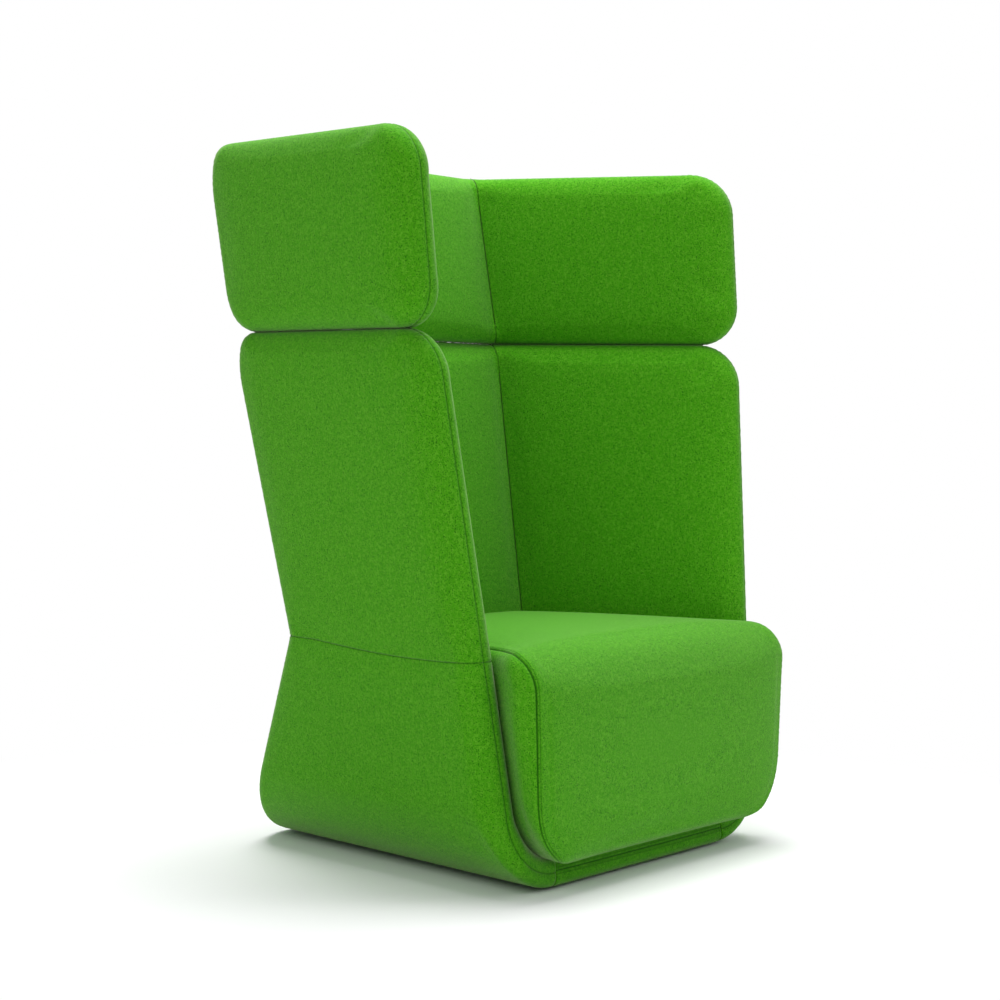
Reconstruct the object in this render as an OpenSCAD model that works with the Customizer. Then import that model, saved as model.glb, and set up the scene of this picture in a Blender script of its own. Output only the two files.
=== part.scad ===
// Acoustic high back lounge chair: an upholstered shell of two splayed sides and a back,
// a separate U-shaped collar above it, and a full-height upholstered seat block.
// The chair faces -Y, +Z is up, and the floor is z = 0.

/* [Overall] */
// Height of the collar itself
collar_h = 360; // [300:1:400]
// Height of the shell's top edge
shell_h = 1008; // [940:1:1080]
// Height of the waist seam
waist_h = 430; // [410:1:450]
// Open gap between the shell and the collar
collar_gap = 4; // [3:1:15]
// Height of the covers' lowest edge above the floor
floor_gap = 5; // [4:0.5:8]
// Splay of each side wall in plan, in degrees
splay = 14.8; // [10:0.1:18]

/* [Shell walls] */
// Half width at the front seam, measured at the floor edge of the covers
rim_half_low = 424; // [400:1:450]
// Half width at the front seam, measured at the shell's top
rim_half_high = 532; // [500:1:560]
// Place of the front seam ahead of the base line, at the floor edge
rim_lead = 19; // [5:1:30]
// Set-back of the front seam behind the base line, at the shell's top
rim_back = 97; // [70:1:120]
// Thickness of a side wall
wall_t = 76; // [70:1:90]
// Crown of the wall and back covers
wall_crown = 5; // [2:0.5:9]
// Corner radius of the wall's front top corner, seen from the side
wall_top_r = 85; // [60:1:110]
// Plan radius of the shell's rear corner
rear_r = 46; // [40:1:60]
// How much rounder the rear corner gets at a rounded end
rear_turn = 45; // [30:1:46]

/* [Back] */
// Inner face of the back behind the base line, at the waist
back_in_low = 483; // [460:1:510]
// Inner face of the back behind the base line, at the shell's top
back_in_high = 595; // [560:1:620]
// Thickness of the back from front to rear
back_t = 91; // [84:1:104]
// Radius of the back's rear top edge
back_top_r = 88; // [60:1:100]

/* [Base] */
// Radius of the base's lower outer corner, seen from the front
foot_r = 176; // [160:1:190]
// Run of each base cover in from the foot of the front seam to the end of the front rail
rail_in = 124; // [114:1:132]
// Depth of the front rail's cover
rail_depth = 60; // [50:1:72]
// Radius of the base's lower inner corner
foot_in_r = 115; // [100:1:125]
// Height of the upholstered rim above the covers' lowest edge
rim_h = 49; // [46:1:54]
// Rear of the base behind the base line, at the floor
foot_back = 776; // [740:1:800]
// Thickness of the base's rear panel, at the floor edge
foot_back_t = 74; // [66:1:84]
// Radius along the lowest edge of the base
edge_r = 18; // [14:1:26]

/* [Collar] */
// Half width at the collar's front seam, at its lower edge
collar_half_low = 538; // [510:1:560]
// Half width at the collar's front seam, at its top
collar_half_high = 550; // [520:1:570]
// Set-back of the collar's front seam, at its lower edge
collar_y_low = 98; // [70:1:120]
// Set-back of the collar's front seam, at its top
collar_y_high = 131; // [100:1:150]
// Thickness of a collar wing
collar_t = 80; // [74:1:90]
// Corner radius of a wing, seen from the side
collar_r = 85; // [60:1:110]
// Inner face of the collar's back, at its top
collar_back_in = 668; // [640:1:690]
// Thickness of the collar's back
collar_back_t = 81; // [76:1:92]
// Radius of the collar's rear top edge
collar_top_r = 78; // [60:1:90]
// Radius of the collar's rear bottom edge
collar_low_r = 60; // [50:1:80]

/* [Seat] */
// Height of the seat's crown above the floor
seat_h = 452; // [430:1:470]
// Front face of the seat block ahead of the base line
seat_lead = 72; // [50:1:84]
// How far the seat block's front swells past the walls' inner faces
seat_flare = 16; // [8:1:20]
// Crown of the seat's top
seat_crown = 9; // [4:0.5:12]
// Crown of the seat's front
seat_front_crown = 6; // [3:0.5:9]
// Radius of the top front edge
seat_front_r = 58; // [44:1:64]
// Radius of the lower front edge
seat_low_r = 26; // [18:1:34]
// Radius of the other edges and corners
seat_edge_r = 12; // [8:1:16]
// Gap between the seat block and the pieces around it
seat_gap = 3; // [2:0.5:5]

/* [Covers and foam] */
// Thickness of a cover with its wadding
cover_t = 3; // [2.5:0.1:4]
// Clearance between a cover and the foam in it
foam_fit = 0.3; // [0.2:0.05:0.5]
// Gap at a sewn joint between two covers
seam_gap = 0.3; // [0.2:0.05:0.6]

/* [Frame] */
// Thickness of the side and back boards
board_t = 15; // [12:0.5:18]
// Clearance of a board in its foam
board_fit = 0.3; // [0.2:0.05:0.5]
// Margin between a board's edge and the cover's outline
board_edge = 44; // [40:1:50]
// Thickness of the base board
base_t = 18; // [15:0.5:21]
// Height of the base board's underside above the floor
base_low = 20; // [18:0.5:22]
// Thickness of one rib
rib_t = 18; // [15:0.5:21]
// Cover and foam left outside and inside a rib
rib_edge = 13; // [10:0.5:16]
// Height of a rib's top above the floor
rib_h = 118; // [105:1:130]
// Place of the first rib behind the foot of the front seam
rib_first = 75; // [65:1:90]
// Place of the last rib behind the foot of the front seam
rib_last = 600; // [560:1:620]
// Height of the battens that carry the seat box
batten_h = 18; // [15:0.5:20]
// Width of a batten
batten_w = 50; // [40:1:50]
// Thickness of the seat box boards
box_t = 18; // [15:0.5:21]
// Height of the seat box boards
box_h = 250; // [220:1:270]
// Front of the seat box behind the base line
box_front = 14; // [8:1:20]
// Rear of the seat box behind the base line
box_rear = 440; // [420:1:455]
// Number of straps across and along the seat box
strap_count = 4; // [3:1:5]
// Width of one webbing strap
strap_w = 60; // [50:1:66]
// Thickness of a webbing strap
strap_t = 1.6; // [1.2:0.1:2]
// Thickness of the dust cloth
cloth_t = 0.8; // [0.5:0.1:1.2]
// Joint between two boards
joint_fit = 0.2; // [0.1:0.05:0.4]

/* [Uprights] */
// Width of a collar upright
upright_w = 40; // [34:1:50]
// Thickness of a collar upright
upright_t = 6; // [5:0.5:8]
// Length of an upright in the shell and in the collar, each
upright_reach = 180; // [150:1:210]
// Place of the side uprights behind the walls' front seam
upright_u = 250; // [200:1:300]
// Place of the rear uprights from the centre line
upright_x = 180; // [140:1:220]
// Diameter of the upright screws
screw_d = 8; // [6:0.5:8]
// Diameter of a screw head
head_d = 14; // [13:0.5:16]
// Height of a screw head
head_h = 4; // [3:0.5:5]
// Clearance of a screw in its holes
screw_fit = 0.2; // [0.1:0.05:0.4]
// Distance of the outer screw from a leg's end
screw_end = 25; // [20:1:35]
// Distance between the two screws of one leg
screw_pitch = 85; // [60:1:90]

/* [Glides] */
// Diameter of a glide's foot
glide_d = 32; // [26:1:40]
// Thickness of a glide's foot
glide_foot = 6; // [5:0.5:8]
// Diameter of a glide's shoulder
glide_neck = 15; // [12:0.5:17]
// Diameter of a glide's threaded stud
glide_stud = 8; // [6:0.5:9]
// Outer diameter of a threaded insert
insert_d = 14; // [12:0.5:16]
// Flange diameter of a threaded insert
flange_d = 22; // [18:0.5:26]
// Thickness of the flange
flange_t = 2; // [1.5:0.25:3]
// Running clearance of a stud in its insert
glide_fit = 0.08; // [0.02:0.01:0.1]
// How far a glide can be screwed out
glide_travel = 10; // [6:1:10]
// Distance of a front glide from the centre line
glide_x_front = 235; // [215:1:250]
// Distance of a rear glide from the centre line
glide_x_rear = 92; // [70:1:100]
// Place of the front glides behind the base line
glide_y_front = 98; // [97:1:110]
// Place of the rear glides behind the base line
glide_y_rear = 640; // [620:1:655]

/* [Hidden] */

// Colours of the finishes
felt = [0.27, 0.57, 0.14];
foam = [0.93, 0.89, 0.72];
plywood = [0.78, 0.62, 0.42];
steel = [0.62, 0.64, 0.66];
webbing = [0.20, 0.20, 0.21];
nylon = [0.08, 0.08, 0.09];

// Overrun of every cut and of a cover's open end, and the least width of a ring
cut = 1;
open_end = 4 * cover_t;
sliver = 0.5;
// Steps of the hardware's round faces and of the ribs' arcs
round_fn = 48;
rib_fn = 96;
// Share of a bullnose that stays flat along a wall's top
flat_share = 0.05;
// Steps of a front arc and of half a rear arc, on a cover and on the foam below it
cover_steps = [3, 2];
foam_steps = [2, 1];
// Depths of the rings that round a wall's end, as shares of its half thickness
cover_shares = [0, 0.12, 0.38, 0.68, 1];
foam_shares = [0, 0.3, 1];
// Places of the crown's points along a face, as shares
mid_shares = [0.3, 0.7];

// Front, rear and middle of the box that the whole chair fills
y_front = -seat_lead - seat_front_crown;
y_rear = foot_out(floor_gap + edge_r / 2) - corner(edge_r, edge_r / 2);
y_mid = (y_front + y_rear) / 2;

// Height of the collar's top above the floor
total_h = shell_h + collar_gap + collar_h;

// Straight line from a to b as z goes from z0 to z1
function along(z, z0, z1, a, b) = a + (b - a) * (z - z0) / (z1 - z0);
// Front seam of the shell wall and of the collar wing at height z, as [x, y]
function shell_seam(z) = [along(z, floor_gap, shell_h, rim_half_low, rim_half_high),
                          along(z, floor_gap, shell_h, -rim_lead, rim_back)];
collar_low = shell_h + collar_gap;
function collar_seam(z) = [along(z, collar_low, total_h, collar_half_low, collar_half_high),
                           along(z, collar_low, total_h, collar_y_low, collar_y_high)];
// Inner and outer face of the back at height z: shell, base and collar
function back_in(z) = along(z, waist_h, shell_h, back_in_low, back_in_high);
function back_out(z) = back_in(z) + back_t;
function foot_in(z) = along(z, floor_gap, waist_h, foot_back - foot_back_t, back_in_low);
function foot_out(z) = along(z, floor_gap, waist_h, foot_back, back_in_low + back_t);
function collar_in(z) = along(z, collar_low, total_h, back_in(collar_low), collar_back_in);
function collar_out(z) = collar_in(z) + collar_back_t;

// A point at t outwards of the front seam s and u behind it, square to the splayed wall
function plan(s, t, u) = [s[0] + t * cos(splay) - u * sin(splay),
                          s[1] + t * sin(splay) + u * cos(splay)];
// How far behind the seam s the line at t outwards reaches the depth y
function reach(s, t, y) = (y - s[1] - t * sin(splay)) / cos(splay);

// Half thickness of a bullnose of half thickness r, d below its end
function bull(r, d) = let (m = min(max(d, 0) / r, 1))
    r * sqrt(flat_share + (1 - flat_share) * (1 - pow(1 - m, 2)));
// Set-back of a round corner of radius r, d below its end
function corner(r, d) = d >= r ? 0 : r - sqrt(r * r - pow(r - max(d, 0), 2));
// Set-back of a rear edge over the height r, as deep as the bullnose of half thickness h
function rear_edge(h, r, d) = let (m = min(max(d, 0) / r, 1))
    (h - h * sqrt(flat_share)) * (1 - sqrt(1 - pow(1 - m, 2)));

// Plan radius of a rear corner, d below a rounded end of radius r
function turn_r(r, d) = let (m = min(max(d, 0) / r, 1)) rear_turn * (1 - sqrt(1 - pow(1 - m, 2)));
// Points of an arc about c, from angle a to angle b in n steps
function arc(c, r, a, b, n) = [for (i = [0:n]) let (t = a + (b - a) * i / n) c + r * [cos(t), sin(t)]];
// Points between p and q, pushed sideways by the crown k
function crowned(p, q, k) = [for (f = mid_shares) p + (q - p) * f + k];
// Angle of the mitre between a side and the back
mitre_a = (splay + 90) / 2;
// Direction of the rear arc's last step v, along which its end is set back from the mitre
function rear_way(v) = v / norm(v);

// Plan section of a right-hand wall with a mitred rear end, counter-clockwise from above:
// s front seam, o and i the faces outwards and inwards of it, yo and yi the back's two faces,
// ri ro rr the inner front, outer front and rear radii, u the front's set-back, k the crown,
// g the set-back at the mitre, n the arc steps
function wall_plan(s, o, i, yo, yi, ri, ro, rr, u, k, g, n) =
    let (a = plan(s, ri - i, u + ri + max(0, i - ri) * tan(splay)),
         b = plan(s, o - ro, u + ro + max(0, ro - o) * tan(splay)),
         c = plan(s, o - rr, reach(s, o - rr, yo - rr)),
         e = plan(s, -i, reach(s, -i, yi)) + g * [sin(splay), -cos(splay)],
         front_in = arc(a, ri, splay + 180, splay + 270, n[0]),
         front_out = arc(b, ro, splay + 270, splay + 360, n[0]),
         rear = arc(c, rr, splay, mitre_a, n[1]),
         out = k * [cos(splay), sin(splay)])
    concat([for (j = [0:n[0] - 1]) front_in[j]], front_out, crowned(front_out[n[0]], rear[0], out),
           [for (j = [0:n[1] - 1]) rear[j]], [rear[n[1]] - g * rear_way(rear[n[1]] - rear[n[1] - 1]), e],
           crowned(e, front_in[0], -out));

// Plan section of the back between the two mitres, with the same corners
function back_plan(s, o, i, yo, yi, rr, k, g, n) =
    let (c = plan(s, o - rr, reach(s, o - rr, yo - rr)),
         turn = arc(c, rr, mitre_a, 90, n[1]),
         outer_end = turn[0] + g * rear_way(turn[1] - turn[0]),
         right = concat([plan(s, -i, reach(s, -i, yi)) - [g, 0], outer_end],
                        [for (j = [1:n[1]]) turn[j]]),
         left = [for (j = [len(right) - 1:-1:0]) [-right[j][0], right[j][1]]])
    concat(right, crowned(right[len(right) - 1], left[0], [0, k]), left,
           crowned(left[len(left) - 1], right[0], [0, -k]));

// A closed solid through rings of the same number of points, lowest ring first. The first columns
// may be split along their other diagonal, so that a mitre meets its neighbour's.
function middle(r) = [for (a = [0:2]) [for (p = r) 1] * [for (p = r) p[a]] / len(r)];
module skin(rings, turned_columns = 0) {
    n = len(rings[0]);
    m = len(rings);
    sides = [for (j = [0:m - 2], i = [0:n - 1]) let (a = j * n + i, b = j * n + (i + 1) % n)
             each i < turned_columns ? [[a, a + n, b + n], [a, b + n, b]]
                                     : [[a, a + n, b], [b, a + n, b + n]]];
    ends = [for (i = [0:n - 1]) let (o = (m - 1) * n, j = (i + 1) % n)
            each [[m * n, i, j], [m * n + 1, o + j, o + i]]];
    points = concat([for (r = rings) each r], [middle(rings[0]), middle(rings[m - 1])]);
    translate([0, -y_mid, 0]) polyhedron(points, concat(sides, ends), convexity = 6);
}
function lift(section, z) = [for (p = section) [p[0], p[1], z]];

// Depths below a wall's end that get a ring, for half thickness r and corner radius c
mid_gap = 1.05;
function depths(r, c, shares) =
    concat([for (f = shares) f * r], [for (d = [(r + c) / 2, c]) if (d > r * mid_gap) d]);
// Half thicknesses and corner radii, d inside the cover's face
function collar_levels(d, shares) =
    let (ds = depths(collar_t / 2 - d, collar_r - d, shares), lo = collar_low + d, hi = total_h - d)
    concat([for (x = ds) lo + x], [(lo + hi) / 2], [for (j = [len(ds) - 1:-1:0]) hi - ds[j]]);
function shell_levels(d, lo, shares) =
    let (ds = depths(wall_t / 2 - d, wall_top_r - d, shares), hi = shell_h - d)
    concat([lo, (lo + hi) / 2], [for (j = [len(ds) - 1:-1:0]) hi - ds[j]]);

// Rings of a collar wing and of the collar's back
function collar_front_edge(z, d) = corner(collar_r - d, min(z - collar_low, total_h - z) - d);
function collar_rear_edge(z, d) = let (h = collar_back_t / 2 - d)
    max(rear_edge(h, collar_low_r - d, z - collar_low - d),
        rear_edge(h, collar_top_r - d, total_h - z - d));
function collar_turn(z, d) =
    max(turn_r(collar_low_r - d, z - collar_low - d), turn_r(collar_top_r - d, total_h - z - d));
function collar_swell(z) = wall_crown * sin(180 * (z - collar_low) / (total_h - collar_low));
function collar_wing_rings(d, g, n, shares) =
    [for (z = collar_levels(d, shares))
        let (e = min(z - collar_low, total_h - z) - d, h = bull(collar_t / 2 - d, e),
             b = collar_back_t / 2 - d - bull(collar_back_t / 2 - d, e),
             yo = collar_out(z) - d - collar_rear_edge(z, d), yi = collar_in(z) + d + b,
             rr = rear_r - d - b + collar_turn(z, d), u = d + collar_front_edge(z, d))
        lift(wall_plan(collar_seam(z), h, h, yo, yi, h, h, rr, u, collar_swell(z), g, n), z)];
function collar_back_rings(d, g, n, shares) =
    [for (z = collar_levels(d, shares))
        let (e = min(z - collar_low, total_h - z) - d, h = bull(collar_t / 2 - d, e),
             b = collar_back_t / 2 - d - bull(collar_back_t / 2 - d, e),
             yo = collar_out(z) - d - collar_rear_edge(z, d), yi = collar_in(z) + d + b,
             rr = rear_r - d - b + collar_turn(z, d))
        lift(back_plan(collar_seam(z), h, h, yo, yi, rr, collar_swell(z), g, n), z)];

// Rings of a shell wall and of the shell's back, from the waist or from lo up
function shell_swell(z) = wall_crown * sin(180 * max(z - waist_h, 0) / (shell_h - waist_h));
function shell_rear_edge(z, d) = rear_edge(back_t / 2 - d, back_top_r - d, shell_h - z - d);
function side_rings(d, g, lo, n, shares) =
    [for (z = shell_levels(d, lo, shares))
        let (e = shell_h - z - d, h = bull(wall_t / 2 - d, e), b = back_t / 2 - d - bull(back_t / 2 - d, e),
             yo = back_out(z) - d - shell_rear_edge(z, d), yi = back_in(z) + d + b,
             rr = rear_r - d - b + turn_r(back_top_r - d, e), u = d + corner(wall_top_r - d, e))
        lift(wall_plan(shell_seam(z), h, h, yo, yi, h, h, rr, u, shell_swell(z), g, n), z)];
function back_rings(d, g, lo, n, shares) =
    [for (z = shell_levels(d, lo, shares))
        let (e = shell_h - z - d, h = bull(wall_t / 2 - d, e), b = back_t / 2 - d - bull(back_t / 2 - d, e),
             yo = back_out(z) - d - shell_rear_edge(z, d), yi = back_in(z) + d + b,
             rr = rear_r - d - b + turn_r(back_top_r - d, e))
        lift(back_plan(shell_seam(z), h, h, yo, yi, rr, shell_swell(z), g, n), z)];

// The wall's outward lean per height, square to the wall and along it, and its angle
rise = [rim_half_high - rim_half_low, rim_back + rim_lead];
lean_n = (rise[0] * cos(splay) + rise[1] * sin(splay)) / (shell_h - floor_gap);
lean_u = (rise[1] * cos(splay) - rise[0] * sin(splay)) / (shell_h - floor_gap);
lean_a = atan(lean_n);
// Centres of the base's outer and inner corner arcs, outwards of the foot of the front seam
out_c = wall_t / 2 + lean_n * foot_r - foot_r / cos(lean_a);
in_z = rim_h + foot_in_r;
in_c = -wall_t / 2 + lean_n * in_z - foot_in_r / cos(lean_a);
// Plane where the side cover of the base meets the rail cover
bound_t = -rail_in * cos(splay);
// Outer face of the base and inner face of the tub, h above the covers' lowest edge and d inside
function out_t(h, d) = h >= foot_r * (1 - sin(lean_a)) ? wall_t / 2 - d + lean_n * h :
    out_c + sqrt(max(pow(foot_r - d, 2) - pow(foot_r - h, 2), sliver));
function tub_t(h, d) = h >= in_z - foot_in_r * sin(lean_a) ? -wall_t / 2 + d + lean_n * h :
    in_c + sqrt(max(pow(foot_in_r + d, 2) - pow(in_z - h, 2), 0));

// Heights of the base's rings above the covers' lowest edge, as shares of the rim and of the tub's arc
cover_rim_shares = [0.06, 0.18, 0.42, 0.7, 1];
foam_rim_shares = [0.22, 0.5];
cover_arc_shares = [0.04, 0.12, 0.28, 0.54, 0.77, 1];
foam_arc_shares = [0.04, 0.18, 0.4, 0.7, 1];
function base_levels(d, hi, rims, arcs) =
    concat([d + sliver], [for (f = rims) f * rim_h], d > 0 ? [rim_h - d - sliver] : [],
           [for (f = arcs) rim_h + f * foot_in_r], [(in_z + hi) / 2, hi]);
// Radii of the front edge: full above the tub's arc, and nothing where the rail cover goes on
round_share = 0.8;
ramp_share = 0.6;
function base_o(h, d, w) = min(wall_t / 2 - d, w * round_share);
function base_i(h, d, w) = max(sliver, min(w - base_o(h, d, w),
    (wall_t / 2 - d) * min(1, max(0, (h - rim_h) / (foot_in_r * ramp_share)))));
// Rings of the base's side and rear, d inside the cover's face. b is the set-back at the rail plane,
// g at the mitre.
function base_side_rings(d, g, b, hi, n, rims, arcs) =
    [for (h = base_levels(d, hi, rims, arcs))
        let (z = h + floor_gap, o = out_t(h, d) - lean_n * h,
             i = lean_n * h - max(bound_t + b, tub_t(h, d)), w = o + i, e = corner(edge_r, h - d))
        lift(wall_plan(shell_seam(z), o, i, foot_out(z) - d - e, foot_in(z) + d, base_i(h, d, w),
                       base_o(h, d, w), min(rear_r - d, w), d + e, 0, g, n), z)];
function base_back_rings(d, g, b, hi, n, rims, arcs) =
    [for (h = base_levels(d, hi, rims, arcs))
        let (z = h + floor_gap, o = out_t(h, d) - lean_n * h,
             i = lean_n * h - max(bound_t + b, tub_t(h, d)), e = corner(edge_r, h - d))
        lift(back_plan(shell_seam(z), o, i, foot_out(z) - d - e, foot_in(z) + d,
                       min(rear_r - d, o + i), 0, g, n), z)];

// Half width of the plane at t outwards of the foot of the front seam, at the depth y
foot = [rim_half_low, -rim_lead];
function half_at(t, y) = plan(foot, t, reach(foot, t, y))[0];

// Rings of the front rail: g is the set-back at its ends and r the run of its rear
rail_shares = [0, 0.06, 0.2, 0.45, 0.75, 0.9, 1];
rail_top_share = 0.25;
rail_rear = rail_depth - rim_lead;
function rail_rings(d, g, r, shares) =
    [for (f = shares)
        let (h = d + sliver + f * (rim_h - 2 * d - sliver), y = shell_seam(h + floor_gap)[1] + d
                 + corner(edge_r, h - d) + corner(rim_h * rail_top_share, rim_h - d - h),
             q = rail_rear + r, k = [0, -wall_crown / 2])
        lift(concat([[-half_at(bound_t - g, y), y]],
                    crowned([-half_at(bound_t - g, y), y], [half_at(bound_t - g, y), y], k),
                    [[half_at(bound_t - g, y), y], [half_at(bound_t - g, q), q],
                     [-half_at(bound_t - g, q), q]]), h + floor_gap)];

// Rings of the seat block, d inside the cover's face
seat_edge = seat_h - seat_crown;
seat_low = floor_gap + rim_h + seat_gap;
seat_rear = back_in_low - seat_gap;
flare_share = 0.5;
// Share of the flare that is lost down to the rail, clear of the rim
flare_ease = 0.8;
// Points of the front face's crown, as shares of its half width and of the crown
front_shares = [0.35, 0.7];
front_crown_shares = [1, 0.7];
// Outline at height z, narrowed by e at the sides, then drawn to its middle by the share f
function seat_plan(z, d, e, f, n) =
    let (h = max(z - floor_gap, rim_h + seat_gap + d + sliver), s = shell_seam(z),
         t = tub_t(h, -seat_gap - d) - lean_n * h - e,
         yf = -seat_lead + d + corner(seat_front_r, seat_edge - d - z)
              + corner(seat_low_r, z - seat_low - d),
         yr = seat_rear - d - e, x = plan(s, t, reach(s, t, yf))[0] + seat_flare
              * (1 - flare_ease * max(0, 1 - (h - rim_h) / foot_in_r)),
         r = seat_edge_r,
         yw = s[1] + wall_t * flare_share, k = seat_front_crown,
         w = plan(s, t, reach(s, t, yw)), q = plan(s, t, reach(s, t, yr - r)),
         m = [0, (yr - seat_lead) / 2],
         right = concat([for (j = [0, 1]) [x * front_shares[j], yf - k * front_crown_shares[j]]],
                        arc([x - r, yf + r], r, -90, 0, n), [w, (w + q) / 2, q, [q[0] - r, yr]]))
    let (left = [for (j = [len(right) - 1:-1:0]) [-right[j][0], right[j][1]]])
    [for (p = concat(right, left)) m + (p - m) * f];
// Heights of the seat's rings: up from its underside, the tub's arc and down from its top edge
seat_low_shares = [0, 0.15, 0.5, 1];
seat_arc_shares = [0.4, 0.65, 1];
seat_side_shares = [0.4, 0.8];
seat_top_shares = [1, 0.68, 0.4, 0.16];
foam_low_shares = [0, 0.5, 1];
foam_top_shares = [1, 0.5, 0.15];
// Rings of the top's crown, as shares of the way in and of the crown's rise
crown_in_shares = [1, 0.975, 0.8, 0.45];
crown_rise_shares = [0, 0.22, 0.7, 1];
function seat_rings(d, n, lows, tops) =
    concat([for (f = lows) let (z = seat_low + d + f * seat_low_r) lift(seat_plan(z, d, 0, 1, n), z)],
           [for (f = seat_arc_shares) let (z = floor_gap + rim_h + f * foot_in_r)
            lift(seat_plan(z, d, 0, 1, n), z)],
           [for (f = seat_side_shares) let (z = floor_gap + in_z + f * (seat_edge - seat_front_r - in_z))
            lift(seat_plan(z, d, 0, 1, n), z)],
           [for (f = tops) let (z = seat_edge - d - f * seat_front_r)
            lift(seat_plan(z, d, corner(seat_edge_r, seat_edge - d - z), 1, n), z)],
           [for (j = [0:3]) lift(seat_plan(seat_edge - d, d, seat_edge_r, crown_in_shares[j], n),
                                 seat_edge - d + crown_rise_shares[j] * seat_crown)]);

// Frames of the boards: the shell wall's plane, the collar wing's, the back's, the collar back's
// and the base's slanted rear
wall_top = (shell_h - floor_gap) / cos(lean_a);
collar_lean_a = atan(((collar_half_high - collar_half_low) * cos(splay)
                      + (collar_y_high - collar_y_low) * sin(splay)) / (total_h - collar_low));
back_lean_a = atan((back_in_high - back_in_low) / (shell_h - waist_h));
back_top = (shell_h - waist_h) / cos(back_lean_a);
collar_back_lean_a = atan((collar_back_in - back_in(collar_low)) / (total_h - collar_low));
foot_lean_a = atan((foot_back - foot_back_t / 2 - back_in_low - back_t / 2) / (waist_h - floor_gap));
module wall_frame() {
    translate([rim_half_low, -rim_lead - y_mid, floor_gap]) rotate([0, 0, splay]) rotate([0, lean_a, 0])
        children();
}
// The upright's inner face outwards of the wall's front seam, midway between the two necks
shift = collar_seam(collar_low) - shell_seam(shell_h);
bar_in = (shift[0] * cos(splay) + shift[1] * sin(splay) - upright_t) / 2;
module wing_frame() {
    wall_frame() translate([bar_in, 0, wall_top]) rotate([0, collar_lean_a - lean_a, 0]) children();
}
// The rear upright's front face behind the back's inner face, midway between the two necks
bar_back = ((back_t + collar_back_t) / 2 + back_in(collar_low) - back_in(shell_h) - upright_t) / 2;
module back_frame() {
    translate([0, back_in_low + bar_back - y_mid, waist_h]) rotate([-back_lean_a, 0, 0]) children();
}
module collar_back_frame() {
    back_frame() translate([0, 0, back_top]) rotate([back_lean_a - collar_back_lean_a, 0, 0]) children();
}
module foot_frame() {
    translate([0, back_in_low + back_t / 2 - y_mid, waist_h]) rotate([foot_lean_a, 0, 0]) children();
}
// Front faces of the back boards at height z
function back_face(z) = along(z, waist_h, shell_h, back_in_low, back_in_high) + bar_back
    - (board_t + joint_fit) / cos(back_lean_a);
function foot_face(z) = (foot_in(z) + foot_out(z) - board_t / cos(foot_lean_a)) / 2;
// Depth along a wall of the point p, from the foot of the front seam
function depth_of(p) = (p[1] - foot[1]) * cos(splay) - (p[0] - foot[0]) * sin(splay);

// A flat board across x from x0, with its outline in depth and height
module upright_board(outline, x0, f) {
    translate([x0 - f, 0, 0]) rotate([90, 0, 90]) linear_extrude(board_t + 2 * f)
        if (f > 0) offset(delta = f) polygon(outline); else polygon(outline);
}
// A flat board whose front face is at y0, with its outline in width and height
module rear_board(outline, y0, f) {
    translate([0, y0 + board_t + f, 0]) rotate([90, 0, 0]) linear_extrude(board_t + 2 * f)
        if (f > 0) offset(delta = f) polygon(outline); else polygon(outline);
}
chamfer_share = 0.9;
board_chamfer = board_edge * chamfer_share;
// Side board of the shell: from the ribs to the top, its rear edge against the two back boards
function wall_uw(z, y) = let (s = shell_seam(z), t = bar_in - joint_fit)
    [reach(s, t, y) + lean_u * (z - floor_gap) - joint_fit, (z - floor_gap) / cos(lean_a)];
function wall_front_uw(z, e) = [lean_u * (z - floor_gap) + e, (z - floor_gap) / cos(lean_a)];
side_board_top = shell_h - board_edge;
side_board_low = rib_h + joint_fit + board_t * sin(lean_a);
module side_board(f) {
    wall_frame() upright_board([wall_front_uw(side_board_low, board_edge),
        wall_uw(side_board_low, foot_face(side_board_low)),
        wall_uw(waist_h, min(foot_face(waist_h), back_face(waist_h))),
        wall_uw(side_board_top, back_face(side_board_top)),
        wall_front_uw(side_board_top, board_edge + board_chamfer),
        wall_front_uw(side_board_top - board_chamfer, board_edge)], bar_in - joint_fit - board_t, f);
}
// Back board of the shell
function back_half(z) = let (s = shell_seam(z), t = bar_in - joint_fit)
    plan(s, t, reach(s, t, back_face(z)))[0];
module back_board(f) {
    lo = joint_fit + board_t * sin(back_lean_a);
    hi = back_top - board_edge;
    a = back_half(waist_h);
    b = back_half(shell_h - board_edge);
    back_frame() rear_board([[-a, lo], [a, lo], [b, hi - board_chamfer], [b - board_chamfer, hi],
                             [board_chamfer - b, hi], [-b, hi - board_chamfer]], -joint_fit - board_t, f);
}
// Slanted rear board of the base: as wide as the side boards above the ribs, narrower below
function foot_half(z) = half_at(bar_in - joint_fit + lean_n * (z - floor_gap), foot_face(z));
module base_back_board(f) {
    c = cos(foot_lean_a);
    top = -joint_fit - board_t * sin(foot_lean_a);
    mid = (rib_h - waist_h) / c;
    low = (base_low + base_t + joint_fit + board_t / 2 * sin(foot_lean_a) - waist_h) / c;
    a = foot_half(waist_h);
    b = foot_half(rib_h);
    n = half_at(bound_t, foot_out(rib_h));
    m = half_at(bound_t, foot_out(base_low + base_t));
    foot_frame() rear_board([[-m, low], [m, low], [n, mid], [b, mid], [a, top], [-a, top], [-b, mid],
                             [-n, mid]], -board_t / 2, f);
}
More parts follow.
